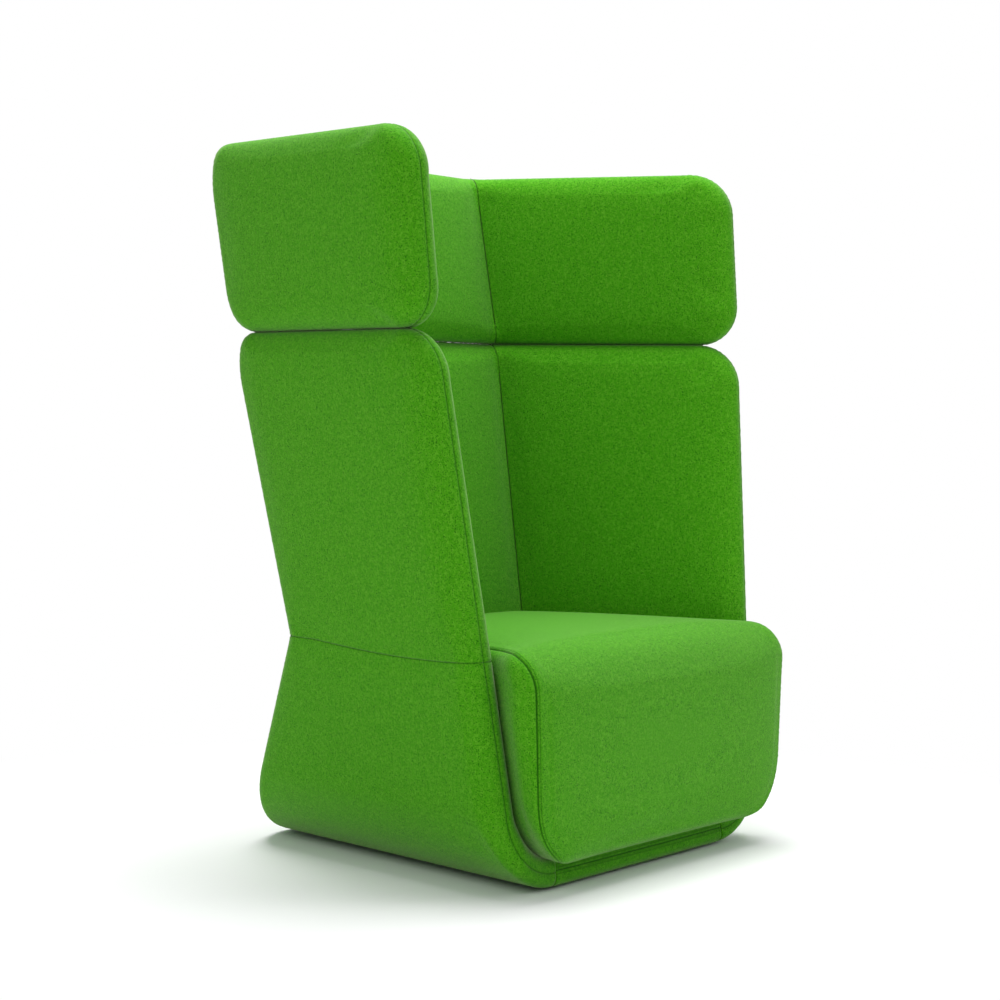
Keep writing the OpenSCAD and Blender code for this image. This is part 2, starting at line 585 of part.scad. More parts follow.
// Boards of the collar, on the far side of the uprights
function wing_w(z) = (z - shell_h + bar_in * sin(lean_a)) / cos(collar_lean_a);
function wing_t(z) = lean_n * (shell_h - floor_gap) + bar_in + upright_t + joint_fit + board_t
    + (z - shell_h) * tan(collar_lean_a);
function collar_face(z) = collar_board_y(z) - (joint_fit + sliver) / cos(collar_back_lean_a);
function collar_board_y(z) = back_in(shell_h) + bar_back + upright_t + joint_fit
    + (z - shell_h) * tan(collar_back_lean_a);
module collar_board(f) {
    lo = collar_low + board_edge;
    hi = total_h - board_edge;
    wing_frame() upright_board([
        [depth_of(collar_seam(lo)) + board_edge + board_chamfer, wing_w(lo)],
        [reach(foot, wing_t(lo), collar_face(lo)) - joint_fit, wing_w(lo)],
        [reach(foot, wing_t(hi), collar_face(hi)) - joint_fit, wing_w(hi)],
        [depth_of(collar_seam(hi)) + board_edge + board_chamfer, wing_w(hi)],
        [depth_of(collar_seam(hi)) + board_edge, wing_w(hi - board_chamfer)],
        [depth_of(collar_seam(lo)) + board_edge, wing_w(lo + board_chamfer)]], upright_t + joint_fit, f);
}
module collar_back_board(f) {
    lo = (collar_gap + board_edge) / cos(collar_back_lean_a);
    hi = (total_h - board_edge - shell_h) / cos(collar_back_lean_a);
    a = half_at(wing_t(collar_low), collar_face(collar_low));
    b = half_at(wing_t(total_h), collar_face(total_h));
    collar_back_frame() rear_board([
        [board_chamfer - a, lo], [a - board_chamfer, lo], [a, lo + board_chamfer],
        [b, hi - board_chamfer], [b - board_chamfer, hi],
        [board_chamfer - b, hi], [-b, hi - board_chamfer], [-a, lo + board_chamfer]],
        upright_t + joint_fit, f);
}

// Uprights: a leg on each board, bent in the gap, each leg held by two screws
// The upper leg leans outwards by the angle a from the lower one
module upright(a, f) {
    far = (upright_reach + collar_gap) * [sin(a), cos(a)];
    side = upright_t * [cos(a), -sin(a)];
    bar = [[0, -upright_reach], [upright_t, -upright_reach], [upright_t, -upright_t * tan(a / 2)],
           far + side, far, [0, 0]];
    translate([0, upright_w / 2 + f, 0]) rotate([90, 0, 0]) linear_extrude(upright_w + 2 * f)
        if (f > 0) offset(delta = f) polygon(bar); else polygon(bar);
}
module screw(f, r) {
    shank = upright_t + 2 * joint_fit + board_t;
    rotate([0, 90, 0]) translate([0, 0, -joint_fit - head_h]) {
        translate([0, 0, head_h - f]) cylinder(d = screw_d + 2 * f, h = shank + 2 * f);
        if (r > 0) translate([0, 0, -f]) cylinder(d = r + 2 * f, h = head_h + 2 * f);
    }
}
module turned() {
    translate([upright_t, 0, 0]) mirror([1, 0, 0]) children();
}
// The two legs' screws: f grows them, r is the head's diameter and 0 leaves the heads off
screw_rows = [0, screw_pitch];
module low_screws(f, r) {
    for (z = screw_rows) translate([0, 0, z + screw_end - upright_reach]) turned() screw(f, r);
}
module high_screws(f, r) {
    for (z = screw_rows) translate([0, 0, upright_reach + collar_gap - screw_end - z]) screw(f, r);
}
module at_side() {
    wall_frame() translate([bar_in, depth_of(shell_seam(shell_h)) + upright_u, wall_top]) children();
}
module at_side_high() {
    at_side() rotate([0, collar_lean_a - lean_a, 0]) children();
}
module at_rear(x) {
    back_frame() translate([x, 0, back_top]) rotate([0, 0, 90]) children();
}
module at_rear_high(x) {
    back_frame() translate([x, 0, back_top]) rotate([back_lean_a - collar_back_lean_a, 0, 0])
        rotate([0, 0, 90]) children();
}
module side_bar(f) { at_side() upright(collar_lean_a - lean_a, f); }
module rear_bar(x, f) { at_rear(x) upright(collar_back_lean_a - back_lean_a, f); }
rear_places = [-upright_x, upright_x];

// Sections of the ribs, between the tub's arc and the base's outer arc
module rib_section(f) {
    h = rib_h - floor_gap;
    intersection() {
        translate([bound_t + joint_fit - f, 0]) square([foot_r * 2, h + f]);
        difference() {
            translate([out_c, foot_r]) circle(r = foot_r - rib_edge + f, $fn = rib_fn);
            translate([in_c, in_z]) circle(r = foot_in_r + rib_edge - f, $fn = rib_fn);
        }
    }
}
rib_places = [rib_first, (rib_first + rib_last) / 2, rib_last];
module ribs(f) {
    translate([rim_half_low, -rim_lead - y_mid, floor_gap]) rotate([0, 0, splay])
        for (u = rib_places) translate([0, u + rib_t / 2 + f, 0]) rotate([90, 0, 0])
            linear_extrude(rib_t + 2 * f) rib_section(f);
}
// A level strip between the depths y0 and y1, its ends along the plane t outwards of the foot
module strip(t, y0, y1, z, h) {
    translate([0, -y_mid, z]) linear_extrude(h)
        polygon([[-half_at(t, y0), y0], [half_at(t, y0), y0], [half_at(t, y1), y1], [-half_at(t, y1), y1]]);
}
// The base board's front and rear edges
rail_front_share = 0.4;
base_front = rail_depth * rail_front_share - rim_lead;
base_rear = foot_in(base_low + base_t) - joint_fit;
module base_slab(f) {
    strip(bound_t + f, base_front - f, base_rear + f, base_low - f, base_t + 2 * f);
}
glide_places = [[-glide_x_front, glide_y_front], [glide_x_front, glide_y_front],
                [-glide_x_rear, glide_y_rear], [glide_x_rear, glide_y_rear]];
module at_glide(p) {
    translate([p[0], p[1] - y_mid, 0]) children();
}
glide_bore = glide_stud + 2 * glide_fit;
box_low = base_low + base_t + joint_fit + batten_h + joint_fit;
box_high = box_low + box_h;
box_out = bound_t - joint_fit;
strap_low = box_high + joint_fit;
strap_high = strap_low + strap_t + joint_fit;

// Sewn covers with their wadding
module collar_cover_right() {
    color(felt) difference() {
        skin(collar_wing_rings(0, seam_gap / 2, cover_steps, cover_shares));
        skin(collar_wing_rings(cover_t, -open_end, foam_steps, foam_shares));
        side_bar(board_fit);
    }
}
module collar_cover_left() { mirror([1, 0, 0]) collar_cover_right(); }
module collar_cover_back() {
    color(felt) difference() {
        skin(collar_back_rings(0, seam_gap / 2, cover_steps, cover_shares), 1);
        skin(collar_back_rings(cover_t, -open_end, foam_steps, foam_shares), 1);
        for (x = rear_places) rear_bar(x, board_fit);
    }
}
module side_cover_right() {
    color(felt) difference() {
        skin(side_rings(0, seam_gap / 2, waist_h + seam_gap / 2, cover_steps, cover_shares));
        skin(side_rings(cover_t, -open_end, waist_h - cut, foam_steps, foam_shares));
        side_bar(board_fit);
    }
}
module side_cover_left() { mirror([1, 0, 0]) side_cover_right(); }
module back_cover() {
    color(felt) difference() {
        skin(back_rings(0, seam_gap / 2, waist_h + seam_gap / 2, cover_steps, cover_shares), 1);
        skin(back_rings(cover_t, -open_end, waist_h - cut, foam_steps, foam_shares), 1);
        for (x = rear_places) rear_bar(x, board_fit);
    }
}
base_top = waist_h - floor_gap - seam_gap / 2;
module base_cover_right() {
    color(felt) difference() {
        skin(base_side_rings(0, seam_gap / 2, seam_gap / 2, base_top, cover_steps,
                             cover_rim_shares, cover_arc_shares));
        skin(base_side_rings(cover_t, -open_end, -cut, base_top + cut, foam_steps,
                             foam_rim_shares, foam_arc_shares));
    }
}
module base_cover_left() { mirror([1, 0, 0]) base_cover_right(); }
module base_cover_back() {
    color(felt) difference() {
        skin(base_back_rings(0, seam_gap / 2, seam_gap / 2, base_top, cover_steps,
                             cover_rim_shares, cover_arc_shares), 1);
        skin(base_back_rings(cover_t, -open_end, -cover_t, base_top + cut, foam_steps,
                             foam_rim_shares, foam_arc_shares), 1);
    }
}
module rail_cover() {
    color(felt) difference() {
        skin(rail_rings(0, seam_gap / 2, 0, rail_shares));
        skin(rail_rings(cover_t, -cut, cut, rail_shares));
    }
}
module seat_cover() {
    color(felt) difference() {
        skin(seat_rings(0, cover_steps[0], seat_low_shares, seat_top_shares));
        skin(concat([lift(seat_plan(seat_low, cover_t, seat_low_r, 1, foam_steps[0]), seat_low - cut)],
                    seat_rings(cover_t, foam_steps[0], foam_low_shares, foam_top_shares)));
        box_room();
    }
}

// Foam blocks
foam_in = cover_t + foam_fit;
// Set-back of the foams at a mitre, where their rings stand further apart than the covers' do
foam_mitre = seam_gap / 2 + 4 * foam_fit;
base_mitre = seam_gap / 2 + 30 * foam_fit;
// Room for the seat box and its webbing
module box_room() {
    strip(box_out + board_fit, box_front - board_fit, box_rear + board_fit, box_low - seat_low,
          strap_high + strap_t + board_fit - box_low + seat_low);
}
module collar_foam_right() {
    color(foam) difference() {
        skin(collar_wing_rings(foam_in, foam_mitre, foam_steps, foam_shares));
        collar_board(board_fit);
        collar_back_board(board_fit);
        side_bar(board_fit);
        at_side_high() high_screws(board_fit, head_d);
    }
}
module collar_foam_left() { mirror([1, 0, 0]) collar_foam_right(); }
module collar_foam_back() {
    color(foam) difference() {
        skin(collar_back_rings(foam_in, foam_mitre, foam_steps, foam_shares), 1);
        collar_board(board_fit);
        mirror([1, 0, 0]) collar_board(board_fit);
        collar_back_board(board_fit);
        for (x = rear_places) {
            rear_bar(x, board_fit);
            at_rear_high(x) high_screws(board_fit, head_d);
        }
    }
}
module side_foam_right() {
    color(foam) difference() {
        skin(side_rings(foam_in, foam_mitre, waist_h + seam_gap / 2, foam_steps, foam_shares));
        side_board(board_fit);
        back_board(board_fit);
        side_bar(board_fit);
        at_side() low_screws(board_fit, head_d);
    }
}
module side_foam_left() { mirror([1, 0, 0]) side_foam_right(); }
module back_foam() {
    color(foam) difference() {
        skin(back_rings(foam_in, foam_mitre, waist_h + seam_gap / 2, foam_steps, foam_shares), 1);
        side_board(board_fit);
        mirror([1, 0, 0]) side_board(board_fit);
        back_board(board_fit);
        base_back_board(board_fit);
        for (x = rear_places) {
            rear_bar(x, board_fit);
            at_rear(x) low_screws(board_fit, head_d);
        }
    }
}
module base_foam_right() {
    color(foam) difference() {
        skin(base_side_rings(foam_in, base_mitre, seam_gap / 2, base_top, foam_steps, foam_rim_shares,
                             foam_arc_shares));
        side_board(board_fit);
        base_back_board(board_fit);
        ribs(board_fit);
        base_slab(board_fit);
    }
}
module base_foam_left() { mirror([1, 0, 0]) base_foam_right(); }
module base_foam_back() {
    color(foam) difference() {
        skin(base_back_rings(foam_in, base_mitre, seam_gap / 2, base_top, foam_steps, foam_rim_shares,
                             foam_arc_shares), 1);
        side_board(board_fit);
        mirror([1, 0, 0]) side_board(board_fit);
        base_back_board(board_fit);
    }
}
module rail_foam() {
    color(foam) difference() {
        skin(rail_rings(foam_in, seam_gap / 2, 0, rail_shares));
        base_slab(board_fit);
    }
}
module seat_foam() {
    color(foam) difference() {
        skin(seat_rings(foam_in, foam_steps[0], foam_low_shares, foam_top_shares));
        box_room();
    }
}

// Boards of the frame
module collar_board_right() {
    color(plywood) difference() {
        collar_board(0);
        at_side_high() high_screws(screw_fit, 0);
    }
}
module collar_board_left() { mirror([1, 0, 0]) collar_board_right(); }
module collar_board_back() {
    color(plywood) difference() {
        collar_back_board(0);
        for (x = rear_places) at_rear_high(x) high_screws(screw_fit, 0);
    }
}
module side_board_right() {
    color(plywood) difference() {
        side_board(0);
        at_side() low_screws(screw_fit, 0);
    }
}
module side_board_left() { mirror([1, 0, 0]) side_board_right(); }
module back_board_node() {
    color(plywood) difference() {
        back_board(0);
        for (x = rear_places) at_rear(x) low_screws(screw_fit, 0);
    }
}
module base_board() {
    color(plywood) difference() {
        base_slab(0);
        for (p = glide_places) at_glide(p) translate([0, 0, base_low - cut])
            cylinder(d = insert_d + 2 * joint_fit, h = base_t + 2 * cut, $fn = round_fn);
    }
}
module base_back_board_node() { color(plywood) base_back_board(0); }
module base_ribs_right() { color(plywood) ribs(0); }
module base_ribs_left() { mirror([1, 0, 0]) base_ribs_right(); }
module seat_battens() {
    color(plywood) for (y = [rail_rear + joint_fit, box_rear - batten_w])
        strip(box_out, y, y + batten_w, base_low + base_t + joint_fit, batten_h);
}
module seat_box_front() { color(plywood) strip(box_out, box_front, box_front + box_t, box_low, box_h); }
module seat_box_back() { color(plywood) strip(box_out, box_rear - box_t, box_rear, box_low, box_h); }
module seat_box_right() {
    y0 = box_front + box_t + joint_fit;
    y1 = box_rear - box_t - joint_fit;
    color(plywood) translate([0, -y_mid, box_low]) linear_extrude(box_h)
        polygon([[half_at(box_out - box_t, y0), y0], [half_at(box_out, y0), y0],
                 [half_at(box_out, y1), y1], [half_at(box_out - box_t, y1), y1]]);
}
module seat_box_left() { mirror([1, 0, 0]) seat_box_right(); }

// Webbing, cloth and hardware
across_pitch = (box_rear - box_front - strap_w) / strap_count;
module webbing_across() {
    color(webbing) for (j = [0:strap_count]) let (y = box_front + j * across_pitch)
        strip(box_out, y, y + strap_w, strap_low, strap_t);
}
along_pitch = (half_at(box_out, box_rear) * 2 - strap_w) / (strap_count - 1);
module webbing_along() {
    color(webbing) for (j = [0:strap_count - 1])
        translate([-half_at(box_out, box_rear) + j * along_pitch, box_front - y_mid, strap_high])
            cube([strap_w, box_rear - box_front, strap_t]);
}
module upright_right() {
    color(steel) difference() {
        side_bar(0);
        at_side() low_screws(screw_fit, 0);
        at_side_high() high_screws(screw_fit, 0);
    }
}
module upright_left() { mirror([1, 0, 0]) upright_right(); }
module upright_back_right() {
    color(steel) difference() {
        rear_bar(upright_x, 0);
        at_rear(upright_x) low_screws(screw_fit, 0);
        at_rear_high(upright_x) high_screws(screw_fit, 0);
    }
}
module upright_back_left() { mirror([1, 0, 0]) upright_back_right(); }
module upright_screws() {
    color(steel) {
        for (m = [0, 1]) mirror([m, 0, 0]) {
            at_side() low_screws(0, head_d);
            at_side_high() high_screws(0, head_d);
        }
        for (x = rear_places) {
            at_rear(x) low_screws(0, head_d);
            at_rear_high(x) high_screws(0, head_d);
        }
    }
}
insert_low = base_low - joint_fit - flange_t;
module glide_inserts() {
    color(steel) for (p = glide_places) at_glide(p) translate([0, 0, insert_low]) difference() {
        union() {
            cylinder(d = flange_d, h = flange_t, $fn = round_fn);
            cylinder(d = insert_d, h = flange_t + joint_fit + base_t, $fn = round_fn);
        }
        translate([0, 0, -cut]) cylinder(d = glide_bore, h = base_t + flange_t + 3 * cut, $fn = round_fn);
    }
}
// The cloth keeps this far from the covers' hems and from the inserts
cloth_edge = 2;
module dust_cloth() {
    color(webbing) difference() {
        strip(bound_t - cloth_edge, rail_rear + cloth_edge, foot_in(base_low - cloth_t) - cloth_edge,
              base_low - joint_fit - cloth_t, cloth_t);
        for (p = glide_places) at_glide(p)
            cylinder(d = flange_d + cloth_edge, h = base_low, $fn = round_fn);
    }
}
module glide(p) {
    color(nylon) at_glide(p) {
        cylinder(d = glide_d, h = glide_foot, $fn = round_fn);
        cylinder(d = glide_neck, h = base_low - 2 * joint_fit - flange_t, $fn = round_fn);
        cylinder(d = glide_stud, h = base_low + base_t + glide_travel, $fn = round_fn);
    }
}
module glide_front_left() { glide(glide_places[0]); }
module glide_front_right() { glide(glide_places[1]); }
module glide_rear_left() { glide(glide_places[2]); }
module glide_rear_right() { glide(glide_places[3]); }

collar_cover_left();
collar_cover_right();
collar_cover_back();
side_cover_left();
side_cover_right();
back_cover();
base_cover_left();
base_cover_right();
base_cover_back();
rail_cover();
seat_cover();
collar_foam_left();
collar_foam_right();
collar_foam_back();
side_foam_left();
side_foam_right();
back_foam();
base_foam_left();
base_foam_right();
base_foam_back();
rail_foam();
seat_foam();
collar_board_left();
collar_board_right();
collar_board_back();
side_board_left();
side_board_right();
back_board_node();  // back_board
base_board();
base_back_board_node();  // base_back_board
base_ribs_left();
base_ribs_right();
seat_battens();
seat_box_front();
seat_box_back();
seat_box_left();
seat_box_right();
webbing_across();
webbing_along();
upright_left();
upright_right();
upright_back_left();
upright_back_right();
upright_screws();
glide_inserts();
dust_cloth();
glide_front_left();
glide_front_right();
glide_rear_left();
glide_rear_right();
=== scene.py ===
"""Acoustic high back lounge chair: the visible upholstery, hardware and underside, and the studio."""
import math
from functools import partial

import bpy
import numpy as np
from mathutils import Matrix, Vector


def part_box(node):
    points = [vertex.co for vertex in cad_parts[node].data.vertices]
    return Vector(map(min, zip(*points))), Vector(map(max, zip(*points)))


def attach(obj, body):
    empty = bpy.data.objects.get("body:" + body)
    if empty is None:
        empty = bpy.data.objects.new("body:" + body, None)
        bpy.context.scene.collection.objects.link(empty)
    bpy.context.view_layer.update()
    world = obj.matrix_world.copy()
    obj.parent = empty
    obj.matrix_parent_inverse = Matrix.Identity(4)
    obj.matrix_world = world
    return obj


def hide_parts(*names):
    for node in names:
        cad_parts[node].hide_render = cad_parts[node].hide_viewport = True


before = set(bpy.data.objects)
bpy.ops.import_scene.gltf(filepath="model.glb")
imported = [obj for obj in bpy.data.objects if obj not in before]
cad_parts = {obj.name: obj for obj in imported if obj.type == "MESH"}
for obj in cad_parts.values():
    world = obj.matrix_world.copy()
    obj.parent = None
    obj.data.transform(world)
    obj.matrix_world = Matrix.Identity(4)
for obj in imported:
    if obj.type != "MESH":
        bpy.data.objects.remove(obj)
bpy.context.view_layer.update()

# Plywood frame: birch boards, ribs, battens and the seat box. They are cut from veneer sheets,
# sanded, screwed and glued together, and the foam is glued to them.
BIRCH = {"Early wood": (0.66, 0.46, 0.27, 1), "Late wood": (0.44, 0.27, 0.13, 1)}
GRAIN_STRETCH = (60, 60, 4)


def connect(tree, node, sockets):
    """Sets each named socket of a node to a value, or links it where that is another node's output."""
    for socket, value in sockets.items():
        if isinstance(value, bpy.types.NodeSocket):
            tree.links.new(value, node.inputs[socket])
        else:
            node.inputs[socket].default_value = value
    return node


def add_node(tree, kind, sockets, **settings):
    """Shader node of a kind: its settings are made first, and then its sockets are connected."""
    node = tree.nodes.new("ShaderNode" + kind)
    for name, value in settings.items():
        setattr(node, name, value)
    return connect(tree, node, sockets)


def new_pattern(name, *colours, rough=True):
    """Node group of a finish: its colours go in, and a colour, a height and maybe a roughness come out.
    Gives the group, the colours inside it, its Object coordinates and the node that takes its outputs."""
    group = bpy.data.node_groups.new(name, "ShaderNodeTree")
    for colour in colours:
        group.interface.new_socket(colour, in_out="INPUT", socket_type="NodeSocketColor")
    outputs = [("Colour", "Color"), ("Height", "Float")] + [("Roughness", "Float")] * rough
    for socket, kind in outputs:
        group.interface.new_socket(socket, in_out="OUTPUT", socket_type="NodeSocket" + kind)
    start, end = group.nodes.new("NodeGroupInput"), group.nodes.new("NodeGroupOutput")
    place = group.nodes.new("ShaderNodeTexCoord").outputs["Object"]
    return group, start.outputs, place, end


def noise(tree, place, scale, detail=2, roughness=0.5):
    """Noise from 0 to 1 at a place."""
    sizes = {"Vector": place, "Scale": scale, "Detail": detail, "Roughness": roughness}
    return add_node(tree, "TexNoise", sizes).outputs["Fac"]


def blend(tree, factor, first, second):
    """Colour from the first, at factor 0, to the second, at 1."""
    sockets = {"Factor": factor, "A": first, "B": second}
    return add_node(tree, "Mix", sockets, data_type="RGBA").outputs["Result"]


def veneer_grain():
    """Node group: a noise stretched along Z is the grain, and a finer one gives its pores."""
    group, colours, place, end = new_pattern("veneer_grain", *BIRCH, rough=False)
    stretched = add_node(group, "Mapping", {"Vector": place, "Scale": GRAIN_STRETCH}).outputs["Vector"]
    grain, pores = noise(group, stretched, 1.6, 6), noise(group, stretched, 9)
    wood = blend(group, grain, colours["Early wood"], colours["Late wood"])
    connect(group, end, {"Colour": wood, "Height": pores})
    return group


def new_material(name, group, colours, constants, strength, depth):
    """Material of one Principled shader. A pattern group drives its colour and roughness, and its bump
    of the given strength and depth."""
    material = bpy.data.materials.new(name)
    material.use_nodes = True
    tree = material.node_tree
    pattern = add_node(tree, "Group", colours, node_tree=group).outputs
    lift = add_node(tree, "Bump", {"Strength": strength, "Distance": depth, "Height": pattern["Height"]})
    driven = {"Base Color": pattern["Colour"], "Normal": lift.outputs["Normal"]}
    if "Roughness" in pattern:
        driven["Roughness"] = pattern["Roughness"]
    connect(tree, tree.nodes["Principled BSDF"], constants | driven)
    return material


def finish_nodes(material, names):
    """Puts a material on CAD nodes that stay shown."""
    for name in names:
        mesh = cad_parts[name].data
        mesh.materials.clear()
        mesh.materials.append(material)


birch = new_material("birch_plywood", veneer_grain(), BIRCH, {"Roughness": 0.62}, 0.25, 0.0004)
finish_nodes(birch, ["collar_board_left", "collar_board_right", "collar_board_back", "side_board_left",
                     "side_board_right", "back_board", "base_board", "base_back_board", "base_ribs_left",
                     "base_ribs_right", "seat_battens", "seat_box_front", "seat_box_back",
                     "seat_box_left", "seat_box_right"])

# Steel uprights between shell and collar, their screws and the threaded inserts: flat bar and
# turned parts, bright zinc plated, screwed to the boards.
ZINC = {"Bright": (0.66, 0.67, 0.69, 1), "Dull": (0.42, 0.43, 0.45, 1)}
CRYSTALS_PER_M, CLOUDS_PER_M = 240, 60


def between(tree, value, low, high):
    """A value from 0 to 1 as one from low to high."""
    return add_node(tree, "MapRange", {"Value": value, "To Min": low, "To Max": high}).outputs["Result"]


def plating_marks():
    """Node group: cloudy zinc in colour and roughness, with the cells of its crystals as height."""
    group, colours, place, end = new_pattern("plating_marks", *ZINC)
    crystals = add_node(group, "TexVoronoi", {"Vector": place, "Scale": CRYSTALS_PER_M}).outputs
    clouds = noise(group, place, CLOUDS_PER_M, 4)
    connect(group, end, {"Colour": blend(group, clouds, colours["Bright"], colours["Dull"]),
                         "Roughness": between(group, clouds, 0.28, 0.46), "Height": crystals["Distance"]})
    return group


zinc = new_material("zinc_plated_steel", plating_marks(), ZINC, {"Metallic": 1.0}, 0.1, 0.0002)
finish_nodes(zinc, ["upright_left", "upright_right", "upright_back_left", "upright_back_right",
                    "upright_screws", "glide_inserts"])

# Felt: thick milled wool in mixed greens, backed with a thin wadding and pulled tight over the
# foam. Its fibres give small light and dark flecks, and a soft pale bloom where light grazes it.
# The darkest of these greens is painted shade, laid along the seams' grooves.
GREENS = {"Dark": (0.012, 0.110, 0.001, 1), "Mid": (0.054, 0.285, 0.004, 1),
          "Pale": (0.140, 0.420, 0.026, 1), "Painted seam shade": (0.006, 0.070, 0.001, 1)}
FLECKS, MOTTLE, FUZZ = (420, 2, 0.6), (170, 3, 0.6), (1100, 1, 0.6)


def spread(tree, value, low, high):
    """Smooth step of a value, from 0 at low to 1 at high."""
    sockets = {"Value": value, "From Min": low, "From Max": high}
    return add_node(tree, "MapRange", sockets, interpolation_type="SMOOTHSTEP").outputs["Result"]


def felt_fibres():
    """Node group: three noises, of flecks, mottle and fibre fuzz, pick between three greens, and the
    point attribute "seam" blends in a darker green as painted shade in the seams' grooves. Flecks and fuzz
    are height."""
    group, colours, place, end = new_pattern("felt_fibres", *GREENS)
    flecks, mottle, fuzz = (noise(group, place, *sizes) for sizes in (FLECKS, MOTTLE, FUZZ))
    pale = blend(group, spread(group, mottle, 0.35, 0.75), colours["Mid"], colours["Pale"])
    haze = blend(group, spread(group, fuzz, 0.20, 0.80), colours["Mid"], pale)
    worn = blend(group, spread(group, flecks, 0.30, 0.50), colours["Dark"], haze)
    # The attribute "seam" carries the painted shade along the seams' grooves.
    seam = add_node(group, "Attribute", {}, attribute_name="seam").outputs["Fac"]
    height = add_node(group, "Math", {0: flecks, 1: fuzz}, operation="ADD").outputs["Value"]
    connect(group, end, {"Colour": blend(group, seam, worn, colours["Painted seam shade"]),
                         "Roughness": between(group, flecks, 0.86, 1.0), "Height": height})
    return group


felt = new_material("green_wool_felt", felt_fibres(), GREENS,
                    {"Sheen Weight": 0.32, "Sheen Roughness": 0.36, "Sheen Tint": (0.92, 1.0, 0.66, 1),
                     "Specular IOR Level": 0.06}, 0.45, 0.0006)

# Base sides: the lower covers, from the waist seam down and round the tub's lower corners to the
# front rail. Each is foam on plywood ribs under felt, sewn to the shell's cover at the waist.
QUARTER = math.pi / 2
SPLAY = math.radians(14.8)
OUT = np.array([math.cos(SPLAY), math.sin(SPLAY)])
BACK = np.array([-math.sin(SPLAY), math.cos(SPLAY)])
OUTWARDS, MIRROR = np.append(OUT, 0.0), np.array([-1.0, 1.0, 1.0])
MITRE = (SPLAY + QUARTER) / 2
CENTRE_Y = 0.345655
FLOOR_GAP, WAIST_Z, SHELL_Z = 0.005, 0.430, 1.008
SEAM_FOOT = np.array([0.424, -0.019 - CENTRE_Y])
SEAM_HEAD = np.array([0.532, 0.097 - CENTRE_Y])
WALL_T, BACK_T, FOOT_BACK_T = 0.076, 0.091, 0.074
BACK_LOW_Y, BACK_HIGH_Y, FOOT_BACK_Y = 0.483 - CENTRE_Y, 0.595 - CENTRE_Y, 0.776 - CENTRE_Y
REAR_R, REAR_TURN, FOLD_R = 0.046, 0.045, 0.004
FOOT_R, TUB_R, RIM_H, EDGE_R = 0.176, 0.115, 0.049, 0.018
RAIL_IN = 0.124
WAIST_DROP, WAIST_SAG, SAG_REACH = 0.004, 0.009, 0.06
SIDE_SWELL, RIM_TIGHT_IN, RIM_TIGHT_OUT = 0.002, 0.027, 0.018
RIM_SEAM_V = [0, 1, 1.2, 1.4, 1.55, 1.8, 2]
RIM_SEAM_SHARE = [0.5, 0.5, 0.53, 0.55, 0.53, 0.46, 0.42]
# Seams, as the depth of the groove and the darkness of the shade painted in it, and the sizes of its marks
# in the felt.
JOIN_SEAM, RIM_SEAM = (0.0012, 0.5), (0.0013, 0.7)
SEAM_WIDTH, SHADE_WIDTH, STITCH_WIDTH, STITCH_DEPTH = 0.0018, 0.0015, 0.0012, 0.0008
PUCKER, PUCKER_BEAT, PUCKER_REACH, PUCKER_START = 0.013, 0.091, 0.009, 0.002
# Cloth: its grid's coarseness, frames and pressure, the seams' grip and the evening out of its motion.
CLOTH_STEP, CLOTH_FRAMES, CLOTH_PRESSURE, GRIP_REACH, EVEN_PASSES = 3, 20, 4, 0.022, 12


def along(z, z0, z1, a, b):
    """Straight line from a at z0 to b at z1."""
    return a + (b - a) * (z - z0) / (z1 - z0)


def shell_seam(z):
    """Front seam of the shell's wall at height z, as x and y arrays."""
    return [along(z, FLOOR_GAP, SHELL_Z, SEAM_FOOT[k], SEAM_HEAD[k]) for k in (0, 1)]


def corner(r, d):
    """Set-back of a round corner of radius r at the distance d from its end: r - sqrt(r^2 - (r - d)^2)."""
    near = np.clip(r - np.maximum(d, 0), 0, None)
    return np.where(d < r, r - np.sqrt(np.maximum(r * r - near * near, 0)), 0.0)


def in_plan(seam, t, u):
    """Point at t outwards of the front seam and u behind it, square to the splayed wall."""
    return np.stack([seam[k] + t * OUT[k] + u * BACK[k] for k in (0, 1)], axis=-1)


def at_depth(seam, t, y):
    """Point at t outwards of the front seam, as far back as the depth y."""
    return in_plan(seam, t, (y - seam[1] - t * OUT[1]) / BACK[1])


def nose(run, r_in, r_out, w):
    """Front edge of a wall of thickness w, by its run from the inner face: an inner quarter arc, a flat
    and an outer quarter arc. Gives the place across the wall and the depth behind the front."""
    a_in = run / r_in
    a_out = (run - r_in * QUARTER - (w - r_in - r_out)) / r_out
    first, last = a_in < QUARTER, a_out > 0
    a_in, a_out = np.clip(a_in, 0, QUARTER), np.clip(a_out, 0, QUARTER)
    flat = run - r_in * (QUARTER - 1)
    across = np.where(first, r_in * (1 - np.cos(a_in)),
                      np.where(last, w - r_out + r_out * np.sin(a_out), flat))
    depth = np.where(first, r_in * (1 - np.sin(a_in)), np.where(last, r_out * (1 - np.cos(a_out)), 0.0))
    return across, depth


def crown(f):
    """Rise of a padded face over its width, 0 at both ends and 1 in the middle: 1 - |2f - 1|^3."""
    return 1 - np.abs(2 * f - 1) ** 3


def column(s):
    """The row values of a wall as one-column arrays, so that they spread over its columns."""
    return {k: np.asarray(x, float).reshape(-1, 1) for k, x in s.items() if not callable(x)}


def with_height(xy, z):
    """Plan points and heights as one array of points."""
    return np.concatenate([xy, np.broadcast_to(z, xy.shape[:2])[..., None]], axis=-1)


def rear_corner(s, side, angle):
    """Points at an angle on the vertical arc of a wall's rear corner, on its side "in" or "out". The arc
    touches that side's faces at t outwards of the front seam and at the depth y."""
    c = column(s)
    r, t, z, y = (c[key + side] for key in ("rear_", "t_", "z_", "y_"))
    centre = at_depth(s["edge"](z), t - r, y - r)
    return with_height(centre + r[..., None] * np.stack([np.cos(angle), np.sin(angle)], axis=-1), z)


def straight(start, end, f):
    """Points on the straight lines from start to end."""
    return start + (end - start) * f[..., None]


